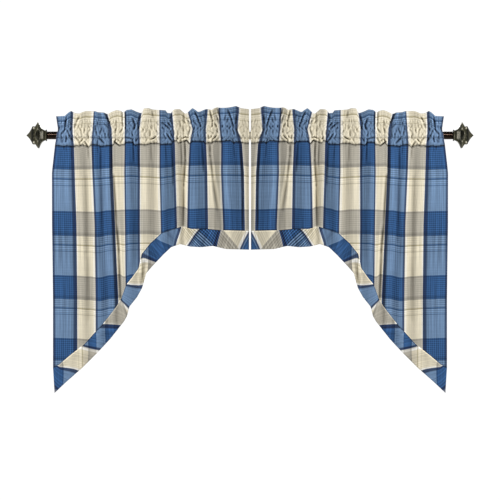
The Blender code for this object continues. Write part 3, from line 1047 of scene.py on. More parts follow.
class Nodes:
    """A short hand for building node trees."""

    MIX_LOW, MIX_HIGH, MIX_RESULT = 6, 7, 2  # the colour sockets of a Mix node

    def __init__(self, tree: bpy.types.NodeTree) -> None:
        """Keeps the tree."""
        self.tree = tree

    def add(self, kind: str, **settings: object) -> bpy.types.Node:
        """Adds a node.

        Args:
            kind: The node's type.
            settings: Properties to set on it.

        Returns:
            The node.
        """
        node = self.tree.nodes.new(kind)
        for name, value in settings.items():
            setattr(node, name, value)
        return node

    def feed(self, socket: bpy.types.NodeSocket, value: object) -> None:
        """Links a socket into an input, or sets the input's value.

        Args:
            socket: The input.
            value: A socket, a number, or a tuple.
        """
        if isinstance(value, bpy.types.NodeSocket):
            self.tree.links.new(value, socket)
        else:
            socket.default_value = value

    def math(self, operation: str, *values: object, clamp: bool = False) -> bpy.types.NodeSocket:
        """Adds a Math node.

        Args:
            operation: What it works out.
            values: Its inputs, in order.
            clamp: Whether the result is held to 0 to 1.

        Returns:
            Its output.
        """
        node = self.add("ShaderNodeMath", operation=operation, use_clamp=clamp)
        for socket, value in zip(node.inputs, values):
            self.feed(socket, value)
        return node.outputs[0]

    def mix(
        self, share: object, low: object, high: object, blend: str = "MIX"
    ) -> bpy.types.NodeSocket:
        """Adds a colour mix.

        Args:
            share: The factor.
            low: The colour at a factor of 0.
            high: The colour at a factor of 1.
            blend: How the two are blended.

        Returns:
            The mixed colour.
        """
        node = self.add("ShaderNodeMix", data_type="RGBA", blend_type=blend)
        node.clamp_factor = True
        self.feed(node.inputs[0], share)
        self.feed(node.inputs[self.MIX_LOW], low)
        self.feed(node.inputs[self.MIX_HIGH], high)
        return node.outputs[self.MIX_RESULT]

    def scaled(self, vector: object, scale: Triple) -> bpy.types.NodeSocket:
        """Scales a vector through a Mapping node.

        Args:
            vector: The vector.
            scale: Its factors.

        Returns:
            The scaled vector.
        """
        node = self.add("ShaderNodeMapping")
        self.feed(node.inputs["Vector"], vector)
        node.inputs["Scale"].default_value = scale
        return node.outputs[0]

    def noise(self, vector: object, scale: float, detail: float = 2.0) -> bpy.types.NodeSocket:
        """Adds a noise pattern.

        Args:
            vector: Where it is read.
            scale: Its scale.
            detail: Its octaves.

        Returns:
            The pattern's value.
        """
        node = self.add("ShaderNodeTexNoise")
        self.feed(node.inputs["Vector"], vector)
        node.inputs["Scale"].default_value = scale
        node.inputs["Detail"].default_value = detail
        return node.outputs["Fac"]

    def band(self, at: object, threads: Threads) -> bpy.types.NodeSocket:
        """A mask that is 1 on a band of threads and 0 beside it.

        Args:
            at: The place in the repeat.
            threads: The band.

        Returns:
            The mask.
        """
        middle, half = (threads.start + threads.end) / 2, (threads.end - threads.start) / 2
        away = self.math("ABSOLUTE", self.math("SUBTRACT", at, middle))
        inside = self.math("SUBTRACT", half, away)
        return self.math("ADD", self.math("DIVIDE", inside, threads.soft), 0.5, clamp=True)

    def repeated(self, at: object, length: float) -> bpy.types.NodeSocket:
        """A place in a repeat, which starts from 0 again after each length.

        Args:
            at: The place in the whole.
            length: The repeat's length.

        Returns:
            The place in the repeat.
        """
        share = self.math("FRACT", self.math("DIVIDE", at, length))
        return self.math("MULTIPLY", share, length)

    def wave(self, at: object, length: object) -> bpy.types.NodeSocket:
        """A sine wave from -1 to 1.

        Args:
            at: Where it is read.
            length: Its wavelength.

        Returns:
            The wave.
        """
        turns = self.math("DIVIDE", at, length)
        return self.math("SINE", self.math("MULTIPLY", turns, math.tau))

    def by_stripe(self, blue: object, strength: ByStripe) -> bpy.types.NodeSocket:
        """A strength that changes from the cream stripes to the blue ones.

        Args:
            blue: The blue stripes' mask.
            strength: The two strengths.

        Returns:
            The strength.
        """
        return self.math("MULTIPLY_ADD", blue, strength.blue - strength.cream, strength.cream)

    def bump(self, height: object, strength: float, distance: float) -> bpy.types.NodeSocket:
        """Adds a Bump node.

        Args:
            height: The relief.
            strength: Its strength.
            distance: Its height in metres.

        Returns:
            The normal.
        """
        node = self.add("ShaderNodeBump")
        node.inputs["Strength"].default_value = strength
        node.inputs["Distance"].default_value = distance
        self.feed(node.inputs["Height"], height)
        return node.outputs[0]


def new_finish(name: str) -> tuple[bpy.types.Material, Nodes, bpy.types.Node]:
    """Starts a material.

    Args:
        name: Its name.

    Returns:
        The material, its nodes and its shader.
    """
    material = bpy.data.materials.new(name)
    material.use_nodes = True
    tree = material.node_tree
    return material, Nodes(tree), tree.nodes["Principled BSDF"]


def new_group(name: str, inputs: dict[str, str], outputs: dict[str, str]) -> bpy.types.NodeTree:
    """Starts a shader node group.

    Args:
        name: Its name.
        inputs: Socket names and types.
        outputs: Socket names and types.

    Returns:
        The group's tree.
    """
    tree = bpy.data.node_groups.new(name, "ShaderNodeTree")
    for socket, kind in inputs.items():
        tree.interface.new_socket(name=socket, in_out="INPUT", socket_type=kind)
    for socket, kind in outputs.items():
        tree.interface.new_socket(name=socket, in_out="OUTPUT", socket_type=kind)
    return tree


@dataclass(frozen=True)
class PlainWeave:
    """Plain weave: fine crossing threads, with slubs that thicken and pale single threads."""

    name: str = "cotton weave"
    warp_slubs: Triple = (330.0, 5.0, 1.0)  # slubs to the metre, across and down the cloth
    weft_slubs: Triple = (7.0, 300.0, 1.0)
    warp_share: float = 0.82  # of the slubs that show in the warp

    def group(self) -> bpy.types.NodeTree:
        """Builds the weave as a node group, once.

        Returns:
            The group, from Weave (metres) and Thread (metres) to Height and Slub.
        """
        if self.name in bpy.data.node_groups:
            return bpy.data.node_groups[self.name]
        tree = new_group(
            self.name,
            {"Weave": "NodeSocketVector", "Thread": "NodeSocketFloat"},
            {"Height": "NodeSocketFloat", "Slub": "NodeSocketFloat"},
        )
        n = Nodes(tree)
        source, sink = n.add("NodeGroupInput"), n.add("NodeGroupOutput")
        place, thread = source.outputs["Weave"], source.outputs["Thread"]
        parts = n.add("ShaderNodeSeparateXYZ")
        n.feed(parts.inputs[0], place)
        warp, weft = n.wave(parts.outputs[0], thread), n.wave(parts.outputs[1], thread)
        over = n.math("MULTIPLY", warp, weft)
        n.feed(sink.inputs["Height"], n.math("MULTIPLY_ADD", over, 0.5, 0.5))
        long_warp = n.noise(n.scaled(place, self.warp_slubs), 1.0)
        long_weft = n.noise(n.scaled(place, self.weft_slubs), 1.0)
        rest = n.math("MULTIPLY", long_weft, 1 - self.warp_share)
        n.feed(sink.inputs["Slub"], n.math("MULTIPLY_ADD", long_warp, self.warp_share, rest))
        return tree


@dataclass(frozen=True)
class PlaidCotton:
    """Yarn-dyed cotton: blue and cream warp stripes, crossed by dark and light weft bars.

    The bands of warp threads are counted from the start of a blue stripe, and the bands of weft
    threads from the start of a dark bar. Shade is painted into creases and highlight onto ridges
    from the piece's fold attribute, and shade along the pocket seam with the stitching.
    """

    name: str
    group_name: str = "plaid"  # which every material cut from this cloth shares
    light_blue: Colour = (0.150, 0.244, 0.394)
    dark_blue: Colour = (0.029, 0.092, 0.233)
    cream: Colour = (0.712, 0.648, 0.496)
    taupe: Colour = (0.410, 0.382, 0.318)
    navy: Colour = (0.010, 0.019, 0.062)
    white: Colour = (0.870, 0.860, 0.830)
    line_on_cream: Colour = (0.54, 0.52, 0.43)  # what a dark weft line multiplies the cloth by
    line_on_blue: Colour = (0.20, 0.32, 0.44)
    stitching: Colour = (0.16, 0.16, 0.16)  # and what the stitching and the painted shade along it do
    warp_repeat: float = 2 * STRIPE * MM
    weft_repeat: float = 0.2053
    blue_stripe: Threads = Threads(0.0, STRIPE * MM, 0.0010)
    # the inner navy threads, widened with painted shade from the fold beside them
    navy_inner: Threads = Threads(0.0, 0.0115, 0.0040)
    navy_outer: Threads = Threads(0.0692, 0.0760, 0.0030)
    white_inner: Threads = Threads(0.0766, 0.0845, 0.0030)
    white_outer: Threads = Threads(0.1472, 0.1520, 0.0020)
    dark_bar: Threads = Threads(0.0, 0.0750, 0.0010)
    bar_start: Threads = Threads(0.0, 0.0062, 0.0025)  # its darker first threads
    bar_end: Threads = Threads(0.0640, 0.0750, 0.0030)  # and its last
    greyed: Threads = Threads(0.0750, 0.1020, 0.0030)  # the first threads of the light bar
    main_line: Threads = Threads(0.1029, 0.1071, 0.0010)
    second_line: Threads = Threads(0.1228, 0.1272, 0.0016)
    pinned: Threads = Threads(0.0040, 0.1280, 0.0030)  # where the pins of the weft show
    bold_pins: Threads = Threads(0.2053, 0.3450, 0.0030)  # in the whole cloth, not the repeat; on the band their bold dark lines also stand in for painted shade
    pocket_seam: Threads = Threads(-0.0016, 0.0016, 0.0006)  # the stitching and the painted shade along it, in the whole cloth too
    second_strength: float = 0.42  # of the second line, beside the main one
    navy_strength: float = 0.82
    white_loss: float = 0.64  # of the white threads in the dark bar
    bar_shade: float = 0.24  # of the dark bar's first and last threads
    start_share: float = 0.80  # of that shade that its first threads get
    greyed_shade: float = 0.10
    bold_line: ByStripe = ByStripe(cream=0.4, blue=1.0)
    # how strongly the stitching and the painted shade along it show, deeper on blue
    stitched: ByStripe = ByStripe(cream=0.40, blue=0.85)
    pin_tone: ByStripe = ByStripe(cream=0.10, blue=0.30)
    streaks: ByStripe = ByStripe(cream=1.1, blue=2.0)  # strength of the slubs
    pin_pitch: float = 0.0064
    pin_strength: float = 1.0
    warp_pins: float = 0.55  # strength of the pins of the warp, beside those of the weft
    boldness: float = 0.0  # of the bold pins
    bold_gain: float = 1.8  # of the pins' strength at a boldness of 1
    pin_relief: float = 0.25  # beside that of the weave
    edge_strength: float = 0.55  # of the white threads beside a warp stripe
    thread: float = 0.0011
    slub_strength: float = 1.0
    roughness: float = 0.80
    slub_roughness: float = 0.12
    # painted shade deep in a full crease
    crease_shade: float = 0.85
    crease_colour: float = 0.45  # painted bounce light: share of the colour multiplied by itself deep in a crease, for light that has met the cloth twice
    # painted highlight on the ridges beside a crease
    ridge_light: float = 0.56

    def weft_lines(self, n: Nodes, at: object) -> bpy.types.NodeSocket:
        """The dark weft lines in the light bar.

        Args:
            n: The tree.
            at: The place in the weft's repeat, in metres.

        Returns:
            Their mask.
        """
        second = n.math("MULTIPLY", n.band(at, self.second_line), self.second_strength)
        return n.math("MAXIMUM", n.band(at, self.main_line), second)

    def pins(
        self, n: Nodes, warp: object, weft: object, dark: object, bold: object, source: bpy.types.Node
    ) -> tuple[bpy.types.NodeSocket, ...]:
        """The fine pin checks of the dark bar, and the lines of the light one.

        Args:
            n: The tree.
            warp: The place in the warp's repeat, in metres.
            weft: The place in the weft's repeat, in metres.
            dark: The dark bar's mask.
            bold: The mask of the cloth where the pins are at their boldest.
            source: The group's inputs, with Pitch (metres) and Pins.

        Returns:
            The strength of the pins, about -1 to 1, and the dark lines' mask.
        """
        pitch = source.outputs["Pitch"]
        wave = n.wave(weft, pitch)
        across = n.math("MULTIPLY", wave, n.band(weft, self.pinned))
        both = n.math("MULTIPLY_ADD", n.wave(warp, pitch), self.warp_pins, across)
        light = n.math("SUBTRACT", 1.0, dark)
        pins = n.math("MULTIPLY_ADD", across, light, n.math("MULTIPLY", both, dark))
        strength = n.math("MULTIPLY_ADD", bold, self.bold_gain, source.outputs["Pins"])
        lines = n.math("MULTIPLY", n.math("MULTIPLY_ADD", wave, -0.5, 0.5), light)
        return n.math("MULTIPLY", pins, strength), n.math("MULTIPLY", lines, bold)

    @staticmethod
    def valley(n: Nodes, fold: object) -> bpy.types.NodeSocket:
        """The depth of a crease, from 0 on flat cloth to 1, from the fold attribute."""
        return n.math("MAXIMUM", n.math("MULTIPLY", fold, -1.0), 0.0)

    def crease_tone(self, n: Nodes, fold: object) -> bpy.types.NodeSocket:
        """Paints shade deep in a crease, and a highlight on the ridges beside one.

        Args:
            n: The tree.
            fold: The piece's fold attribute of painted light, -1 in a full crease and 1 on a full
                ridge.

        Returns:
            The factor for the colour.
        """
        ridge = n.math("MAXIMUM", fold, 0.0)
        sunk = n.math("MULTIPLY_ADD", self.valley(n, fold), -self.crease_shade, 1.0)
        return n.math("MULTIPLY_ADD", ridge, self.ridge_light, sunk)

    def bar_tone(self, n: Nodes, weft: object) -> bpy.types.NodeSocket:
        """Darkens the first and last threads of the dark bar, and the first of the light one.

        Args:
            n: The tree.
            weft: The place in the weft's repeat, in metres.

        Returns:
            The factor for the colour.
        """
        first = n.math("MULTIPLY", n.band(weft, self.bar_start), self.start_share)
        edges = n.math("MAXIMUM", n.band(weft, self.bar_end), first)
        tone = n.math("MULTIPLY_ADD", edges, -self.bar_shade, 1.0)
        return n.math("MULTIPLY_ADD", n.band(weft, self.greyed), -self.greyed_shade, tone)

    def striped(self, n: Nodes, masks: tuple[object, ...], pale: object) -> bpy.types.NodeSocket:
        """The plaid's plain stripes and bars, with the white threads beside the stripes.

        Args:
            n: The tree.
            masks: The blue stripes, the dark bars, and the white threads.
            pale: The strength of the white threads.

        Returns:
            The colour.
        """
        blue, dark, white = masks
        light = n.mix(blue, (*self.cream, 1), (*self.light_blue, 1))
        deep = n.mix(blue, (*self.taupe, 1), (*self.dark_blue, 1))
        left = n.math("MULTIPLY_ADD", dark, -self.white_loss, 1.0)
        share = n.math("MULTIPLY", n.math("MULTIPLY", white, left), pale)
        return n.mix(share, n.mix(dark, light, deep), (*self.white, 1))

    def group(self) -> bpy.types.NodeTree:
        """Builds the plaid as a node group, once.

        Returns:
            The group, from Weave (metres) to Colour, Height and Roughness.
        """
        if self.group_name in bpy.data.node_groups:
            return bpy.data.node_groups[self.group_name]
        values = ("Fold", "Pins", "Bold", "Pitch", "Pale", "Slubs")
        inputs = {"Weave": "NodeSocketVector"} | dict.fromkeys(values, "NodeSocketFloat")
        outputs = {"Colour": "NodeSocketColor"}
        outputs |= dict.fromkeys(("Height", "Roughness"), "NodeSocketFloat")
        tree = new_group(self.group_name, inputs, outputs)
        n = Nodes(tree)
        source, sink = n.add("NodeGroupInput"), n.add("NodeGroupOutput")
        parts = n.add("ShaderNodeSeparateXYZ")
        n.feed(parts.inputs[0], source.outputs["Weave"])
        down = parts.outputs[1]
        from_edge = n.math("SUBTRACT", parts.outputs[0], FIRST_STRIPE * MM)
        warp, weft = n.repeated(from_edge, self.warp_repeat), n.repeated(down, self.weft_repeat)
        blue, dark = n.band(warp, self.blue_stripe), n.band(weft, self.dark_bar)
        navy = n.math("MAXIMUM", n.band(warp, self.navy_inner), n.band(warp, self.navy_outer))
        white = n.math("MAXIMUM", n.band(warp, self.white_inner), n.band(warp, self.white_outer))
        colour = self.striped(n, (blue, dark, white), source.outputs["Pale"])

        bold = n.math("MULTIPLY", n.band(down, self.bold_pins), source.outputs["Bold"])
        pins, lines = self.pins(n, warp, weft, dark, bold, source)
        lines = n.math("MULTIPLY", lines, n.by_stripe(blue, self.bold_line))
        line = n.mix(blue, (*self.line_on_cream, 1), (*self.line_on_blue, 1))
        lines = n.math("MAXIMUM", self.weft_lines(n, weft), lines)
        colour = n.mix(lines, colour, line, "MULTIPLY")
        colour = n.mix(n.math("MULTIPLY", navy, self.navy_strength), colour, (*self.navy, 1))
        # the stitching along the pocket seam, with painted shade
        seam_shadow = n.math("MULTIPLY", n.band(down, self.pocket_seam), n.by_stripe(blue, self.stitched))
        colour = n.mix(seam_shadow, colour, (*self.stitching, 1), "MULTIPLY")

        weave = n.add("ShaderNodeGroup", node_tree=PlainWeave().group())
        n.feed(weave.inputs["Weave"], source.outputs["Weave"])
        weave.inputs["Thread"].default_value = self.thread
        slub = weave.outputs["Slub"]
        streak = n.math("MULTIPLY", n.by_stripe(blue, self.streaks), source.outputs["Slubs"])
        slub_tone = n.math("MULTIPLY_ADD", n.math("SUBTRACT", slub, 0.5), streak, 1.0)
        pin_tone = n.math("MULTIPLY_ADD", pins, n.by_stripe(blue, self.pin_tone), 1.0)
        # the Fold input carries painted crease shade and painted ridge highlight; below, it also
        # deepens the colour in creases as painted bounce light
        fold = source.outputs["Fold"]
        tone = n.math("MULTIPLY", n.math("MULTIPLY", pin_tone, self.bar_tone(n, weft)), slub_tone)
        tone = n.math("MULTIPLY", tone, self.crease_tone(n, fold))
        grey = n.add("ShaderNodeCombineColor")
        for socket in grey.inputs:
            n.feed(socket, tone)
        deep = n.math("MULTIPLY", self.valley(n, fold), self.crease_colour)
        colour = n.mix(deep, colour, colour, "MULTIPLY")
        n.feed(sink.inputs["Colour"], n.mix(1.0, colour, grey.outputs[0], "MULTIPLY"))
        relief = n.math("MULTIPLY_ADD", pins, self.pin_relief, weave.outputs["Height"])
        n.feed(sink.inputs["Height"], relief)
        rough = n.math("MULTIPLY_ADD", slub, self.slub_roughness, self.roughness)
        n.feed(sink.inputs["Roughness"], rough)
        return tree

    def material(self) -> bpy.types.Material:
        """Builds the cloth's material.

        Returns:
            The material, which reads the piece's weave UV map and fold attribute.
        """
        material, n, shader = new_finish(self.name)
        weave = n.add("ShaderNodeUVMap", uv_map="weave")
        plaid = n.add("ShaderNodeGroup", node_tree=self.group())
        n.feed(plaid.inputs["Weave"], weave.outputs[0])
        fold = n.add("ShaderNodeAttribute", attribute_name="fold")
        n.feed(plaid.inputs["Fold"], fold.outputs["Fac"])
        plaid.inputs["Pins"].default_value = self.pin_strength
        plaid.inputs["Bold"].default_value = self.boldness
        plaid.inputs["Pitch"].default_value = self.pin_pitch
        plaid.inputs["Pale"].default_value = self.edge_strength
        plaid.inputs["Slubs"].default_value = self.slub_strength
        n.feed(shader.inputs["Base Color"], plaid.outputs["Colour"])
        n.feed(shader.inputs["Roughness"], plaid.outputs["Roughness"])
        n.feed(shader.inputs["Normal"], n.bump(plaid.outputs["Height"], strength=0.25, distance=0.0003))
        shader.inputs["Sheen Weight"].default_value = 0.05
        shader.inputs["Sheen Roughness"].default_value = 0.5
        shader.inputs["Specular IOR Level"].default_value = 0.25
        return material


@dataclass(frozen=True)
class RubbedBronze:
    """Dark oil-rubbed bronze, with a drawn grain along the tube."""

    name: str = "rubbed bronze"
    dark: Colour = (0.0090, 0.0060, 0.0045)
    warm: Colour = (0.0270, 0.0175, 0.0130)
    grain: Triple = (6.0, 420.0, 420.0)  # scratches to the metre, along and round the tube
    clouds: float = 26.0  # to the metre
    roughness: float = 0.16
    grain_roughness: float = 0.10

    def material(self) -> bpy.types.Material:
        """Builds the rod's material.

        Returns:
            The material.
        """
        material, n, shader = new_finish(self.name)
        place = n.add("ShaderNodeTexCoord").outputs["Object"]
        grain = n.noise(n.scaled(place, self.grain), 1.0, detail=3.0)
        cloud = n.noise(place, self.clouds, detail=3.0)
        n.feed(shader.inputs["Base Color"], n.mix(cloud, (*self.dark, 1), (*self.warm, 1)))
        rough = n.math("MULTIPLY_ADD", grain, self.grain_roughness, self.roughness)
        n.feed(shader.inputs["Roughness"], rough)
        n.feed(shader.inputs["Normal"], n.bump(grain, strength=0.02, distance=0.0002))
        shader.inputs["Metallic"].default_value = 1.0
        return material


@dataclass(frozen=True)
class AntiquePewter:
    """Cast pewter with a dark wash left in its hollows, its edges rubbed bright, and painted
    highlights.
    """

    name: str = "antique pewter"
    wash: Colour = (0.008, 0.008, 0.004)
    metal: Colour = (0.094, 0.090, 0.054)
    # the colour of rubbed edges and of painted highlights
    bright: Colour = (0.80, 0.76, 0.62)
    clouds: float = 95.0  # to the metre
    cloudiness: float = 0.5  # how far they shift the wear
    washed: float = 0.5  # the wear at which the wash has gone
    rubbed: float = 0.6  # and at which the metal starts to turn bright, on rubbed edges and painted highlights
    roughness: float = 0.34
    cast_roughness: float = 0.2

    def material(self) -> bpy.types.Material:
        """Builds the finials' material.

        Returns:
            The material, which reads the piece's wear attribute: 0 in hollows, 1 on rubbed edges and on
            painted highlights.
        """
        material, n, shader = new_finish(self.name)
        place = n.add("ShaderNodeTexCoord").outputs["Object"]
        wear = n.add("ShaderNodeAttribute", attribute_name="wear").outputs["Fac"]
        cloud = n.noise(place, self.clouds, detail=4.0)
        shift = n.math("MULTIPLY_ADD", cloud, self.cloudiness, -self.cloudiness / 2)
        worn = n.math("ADD", wear, shift, clamp=True)
        cleaned = n.math("MULTIPLY", worn, 1 / self.washed, clamp=True)
        body = n.mix(cleaned, (*self.wash, 1), (*self.metal, 1))
        slope = 1 / (1 - self.rubbed)
        top = n.math("MULTIPLY_ADD", worn, slope, -self.rubbed * slope, clamp=True)
        n.feed(shader.inputs["Base Color"], n.mix(top, body, (*self.bright, 1)))
        rough = n.math("MULTIPLY_ADD", cloud, self.cast_roughness, self.roughness)
        n.feed(shader.inputs["Roughness"], rough)
        n.feed(shader.inputs["Normal"], n.bump(cloud, strength=0.25, distance=0.0006))
        shader.inputs["Metallic"].default_value = 0.7
        return material


# ---------------------------------------------------------------- the pieces


@dataclass
class PanelCloth:
    """The sheet of one panel, which both sides of the pair are made from."""

    hang: Hang
    columns: int = 400
    drop_rows: int = 40
    front_rows: int = 62
    back_rows: int = 16
    drop_growth: float = 1.5  # how much wider apart the rows lie towards the hem
    swell: float = 2.5  # how far the pocket's inner edge swells out over the rod
    swell_height: float = 16.0
    swell_width: float = 10.0
    back_free: float = 10.0  # above the rod's axis, where the back layer starts to follow the pleats
    back_fade: float = 8.0  # and above the seam, where it stops
    seam_lap: float = 3.0  # how far the cut edge runs on behind the band
    hem_rows: tuple[float, ...] = (0.0, 3.0, 5.0, 8.0)  # weft distances from the cut edge
    hem_width: float = 4.5  # of the painted highlight and shade along the seam of the band
    hem_light: float = 1.2  # painted highlight there on a cream stripe
    hem_shade: float = -0.5  # and painted shade on a blue one

    def __post_init__(self) -> None:
        """Works out where the sheet's points lie, hanging and in the weave."""
        warp = np.linspace(0.0, self.hang.width, self.columns)
        rows = self.hanging_rows(warp) + self.doubled_rows(warp)
        self.points = np.array([points for points, _ in rows]).transpose(2, 0, 1)
        self.weave = np.array([weave for _, weave in rows]).transpose(2, 0, 1)

    def hanging_rows(self, warp: np.ndarray) -> Stretch:
        """The rows of the hanging cloth, from the cut edge up to the pocket's seam.

        Args:
            warp: Places across the flat cloth.

        Returns:
            A pair for each row: its out, depth, rise and painted shade and highlight, and its warp and
                weft.
        """
        hang = self.hang
        foot = hang.weft(warp, hang.foot(warp) + self.seam_lap)
        near_hem = [foot - rise for rise in self.hem_rows]
        shares = np.linspace(1.0, 0.0, self.drop_rows + 1) ** self.drop_growth
        hem_painted_light = np.where(on_blue(warp), self.hem_shade, self.hem_light)
        rows = []
        for weft in near_hem + [near_hem[-1] * share for share in shares[1:]]:
            drop = hang.drop(warp, weft)
            depth, tone = hang.hanging(warp, drop)
            over_hem = foot - self.seam_lap - weft
            # painted highlight and shade along the seam of the band
            tone = tone + hem_painted_light * ramp(1.0, 0.0, over_hem / self.hem_width)
            rows.append(([hang.out(warp, drop), depth, -drop, tone], [warp, weft]))
        return rows

    def doubled_rows(self, warp: np.ndarray) -> Stretch:
        """The rows of the pocket and heading, up the front layer and down the back one.

        Args:
            warp: Places across the flat cloth.

        Returns:
            A pair for each row, as above.
        """
        hang, rows = self.hang, []
        doubled, wefts = hang.doubled(warp, (self.front_rows, self.back_rows))
        for k, (row, weft) in enumerate(zip(doubled, wefts)):
            depth, rise = row[:, 0], row[:, 1]
            out = hang.out(warp, -rise)
            push, tone = hang.gather(warp, out, rise)
            over_seam = rise + hang.pocket_drop(warp)
            if k < self.front_rows:
                over_lobe = (over_seam - hang.lobe_rise) / hang.lobe_width
                push = push - hang.seam_lobe * np.exp(-(over_lobe**2))
            else:
                follow = ramp(0.0, 1.0, (rise - self.back_free) / self.back_fade)
                follow = follow + ramp(1.0, 0.0, over_seam / self.back_fade)
                push = push * np.minimum(follow, 1.0)
            depth, rise = hang.clear_of_rod(depth + push, rise)
            swell = np.exp(-((rise / self.swell_height) ** 4) - warp / self.swell_width)
            weave = [warp, np.full_like(warp, weft)]
            rows.append(([out - self.swell * swell, depth, rise, tone], weave))
        return rows

    @property
    def longest(self) -> float:
        """Length of the cut at its outer edge, in metres."""
        return float(self.weave[:, 0, 1].max() + 2 * abs(self.hang.fold_over)) * MM

    @property
    def area(self) -> float:
        """Flat area of the cut, in square metres."""
        lengths = (self.weave[:, 0, 1] + 2 * abs(self.hang.fold_over)) * MM
        return float(lengths.mean() * self.hang.width * MM)


@dataclass
class GatheredPanel:
    """One panel: its hanging front, its rod pocket and its ruffled heading, in one sheet."""

    cloth: PanelCloth
    side: Side
    finish: bpy.types.Material

    def build(self) -> bpy.types.Object:
        """Makes the panel.

        Returns:
            The panel's object.
        """
        name = f"plaid_panel_{self.side.label}"
        cloth = self.cloth
        mesh = cloth_mesh(name, cloth.points, cloth.weave, self.side)
        panel = add_piece(name, mesh, self.finish)
        add_thickness(panel, cloth.hang.cloth)
        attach(panel, BODY)
        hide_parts(f"panel_{self.side.label}")
        LOG.info("%s: %d faces, cut %.2f m2", name, len(mesh.polygons), cloth.area)
        return panel


@dataclass
class BiasBand:
    """The bias strip along one panel's short hem, diagonal and tail."""

    hang: Hang
    side: Side
    finish: bpy.types.Material
    columns: int = 250
    rows: int = 15
    stand: float = 1.3  # how far the band's top edge stands before the panel
    own_creases: float = 0.6  # share of the panel's painted crease shade that runs on into the band
    edge_light: float = 1.3  # painted highlight along the seamed edge of a cream stripe
    edge_shade: float = -0.8  # and painted shade along that of a blue one
    edge_share: float = 0.07  # of the band's width that the painted highlight and shade along the seamed edge take up
    thickness: float = 1.1

    def points(self) -> tuple[np.ndarray, np.ndarray]:
        """Works out where the strip's points lie.

        Returns:
            Arrays of (along the band, across it, coordinates) and of (along, across, weave).
        """
        hang = self.hang
        rungs = {name: column(RUNGS, name) for name in Rung._fields}
        steps = np.hypot(np.diff(rungs["hem_out"]), np.diff(rungs["hem_drop"]))
        length = np.concatenate([[0], np.cumsum(steps)])
        at = np.linspace(0.0, length[-1], self.columns)
        read = {name: np.interp(at, length, row) for name, row in rungs.items()}
        points, weaves = [], []
        for share in np.linspace(0.0, 1.0, self.rows):
            out = read["seam_out"] + (read["hem_out"] - read["seam_out"]) * share
            drop = read["seam_drop"] + (read["hem_drop"] - read["seam_drop"]) * share
            depth, tone = hang.hanging(hang.warp(out, drop), drop)
            depth = depth - self.stand * (1 - share)
            places = (at, share, (rungs["seam_out"], rungs["hem_out"], length))
            weaves.append([self.flat(BIAS_WARPS, *places), self.flat(BIAS_WEFTS, *places)])
            # painted highlight and shade along the seamed edge, added to the panel's painted crease
            # shade
            light = np.where(on_blue(weaves[-1][0]), self.edge_shade, self.edge_light)
            tone = tone * self.own_creases + light * max(0.0, 1 - share / self.edge_share)
            points.append([out, depth, -drop, tone])
        return np.array(points).transpose(2, 0, 1), np.array(weaves).transpose(2, 0, 1)

    @staticmethod
    def flat(
        lines: Sequence[BiasLine], at: np.ndarray, share: float, rungs: tuple[np.ndarray, ...]
    ) -> np.ndarray:
        """Reads the plaid's place along one row of the band.

        Args:
            lines: The plaid's lines across the band.
            at: Lengths along the band's hem.
            share: The row's place, from 0 at the seam to 1 at the hem.
            rungs: The rungs' places at the seam, at the hem, and along the hem's length.

        Returns:
            The place in the flat plaid.
        """
        seam_out, hem_out, length = rungs
        seam = outside(column(lines, "seam_out"), seam_out, length)
        hem = outside(column(lines, "hem_out"), hem_out, length)
        bowed = column(lines, "bow") * 4 * share * (1 - share)
        return np.interp(at, seam + (hem - seam) * share + bowed, column(lines, "flat"))

    def build(self) -> bpy.types.Object:
        """Makes the band.

        Returns:
            The band's object.
        """
        name = f"bias_band_{self.side.label}"
        points, weave = self.points()
        band = add_piece(name, cloth_mesh(name, points, weave, self.side), self.finish)
        add_thickness(band, self.thickness)
        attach(band, BODY)
        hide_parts(f"band_{self.side.label}")
        return band


@dataclass
class CurtainRod:
    """The bronze tube through both pockets."""

    finish: bpy.types.Material
    segments: int = 64
    rim: float = 1.2  # width of the rounding at its ends
    rim_segments: int = 3
    rim_angle: float = 1.0  # an edge that turns by more radians than this is a rim
    sharp_angle: float = math.radians(40)

    def build(self) -> bpy.types.Object:
        """Makes the tube at the size of its solid.

        Returns:
            The tube's object.
        """
        low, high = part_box("rod")
        radius = (high.z - low.z) / 2
        bm = bmesh.new()
        bmesh.ops.create_cone(
            bm,
            cap_ends=True,
            segments=self.segments,
            radius1=radius,
            radius2=radius,
            depth=high.x - low.x,
            matrix=Matrix.Translation((low + high) / 2) @ Matrix.Rotation(math.pi / 2, 4, "Y"),
        )
        bmesh.ops.bevel(
            bm,
            geom=[edge for edge in bm.edges if edge.calc_face_angle() > self.rim_angle],
            offset=self.rim * MM,
            segments=self.rim_segments,
            profile=0.5,
            affect="EDGES",
            material=-1,
        )
        mesh = finished(bm, "rod_tube")
        mesh.shade_smooth()
        mesh.set_sharp_from_angle(angle=self.sharp_angle)
        rod = add_piece("rod_tube", mesh, self.finish)
        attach(rod, BODY)
        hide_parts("rod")
        LOG.info("rod_tube: %.0f mm long", (high.x - low.x) / MM)
        return rod


class Turn(NamedTuple):
    """A step of the finial's square section."""

    along: float  # from the collar's face at the rod, outwards
    half: float  # half the width of the square there
    wear: float  # 0 in a hollow, 1 on a rubbed edge; some steps hold painted highlights


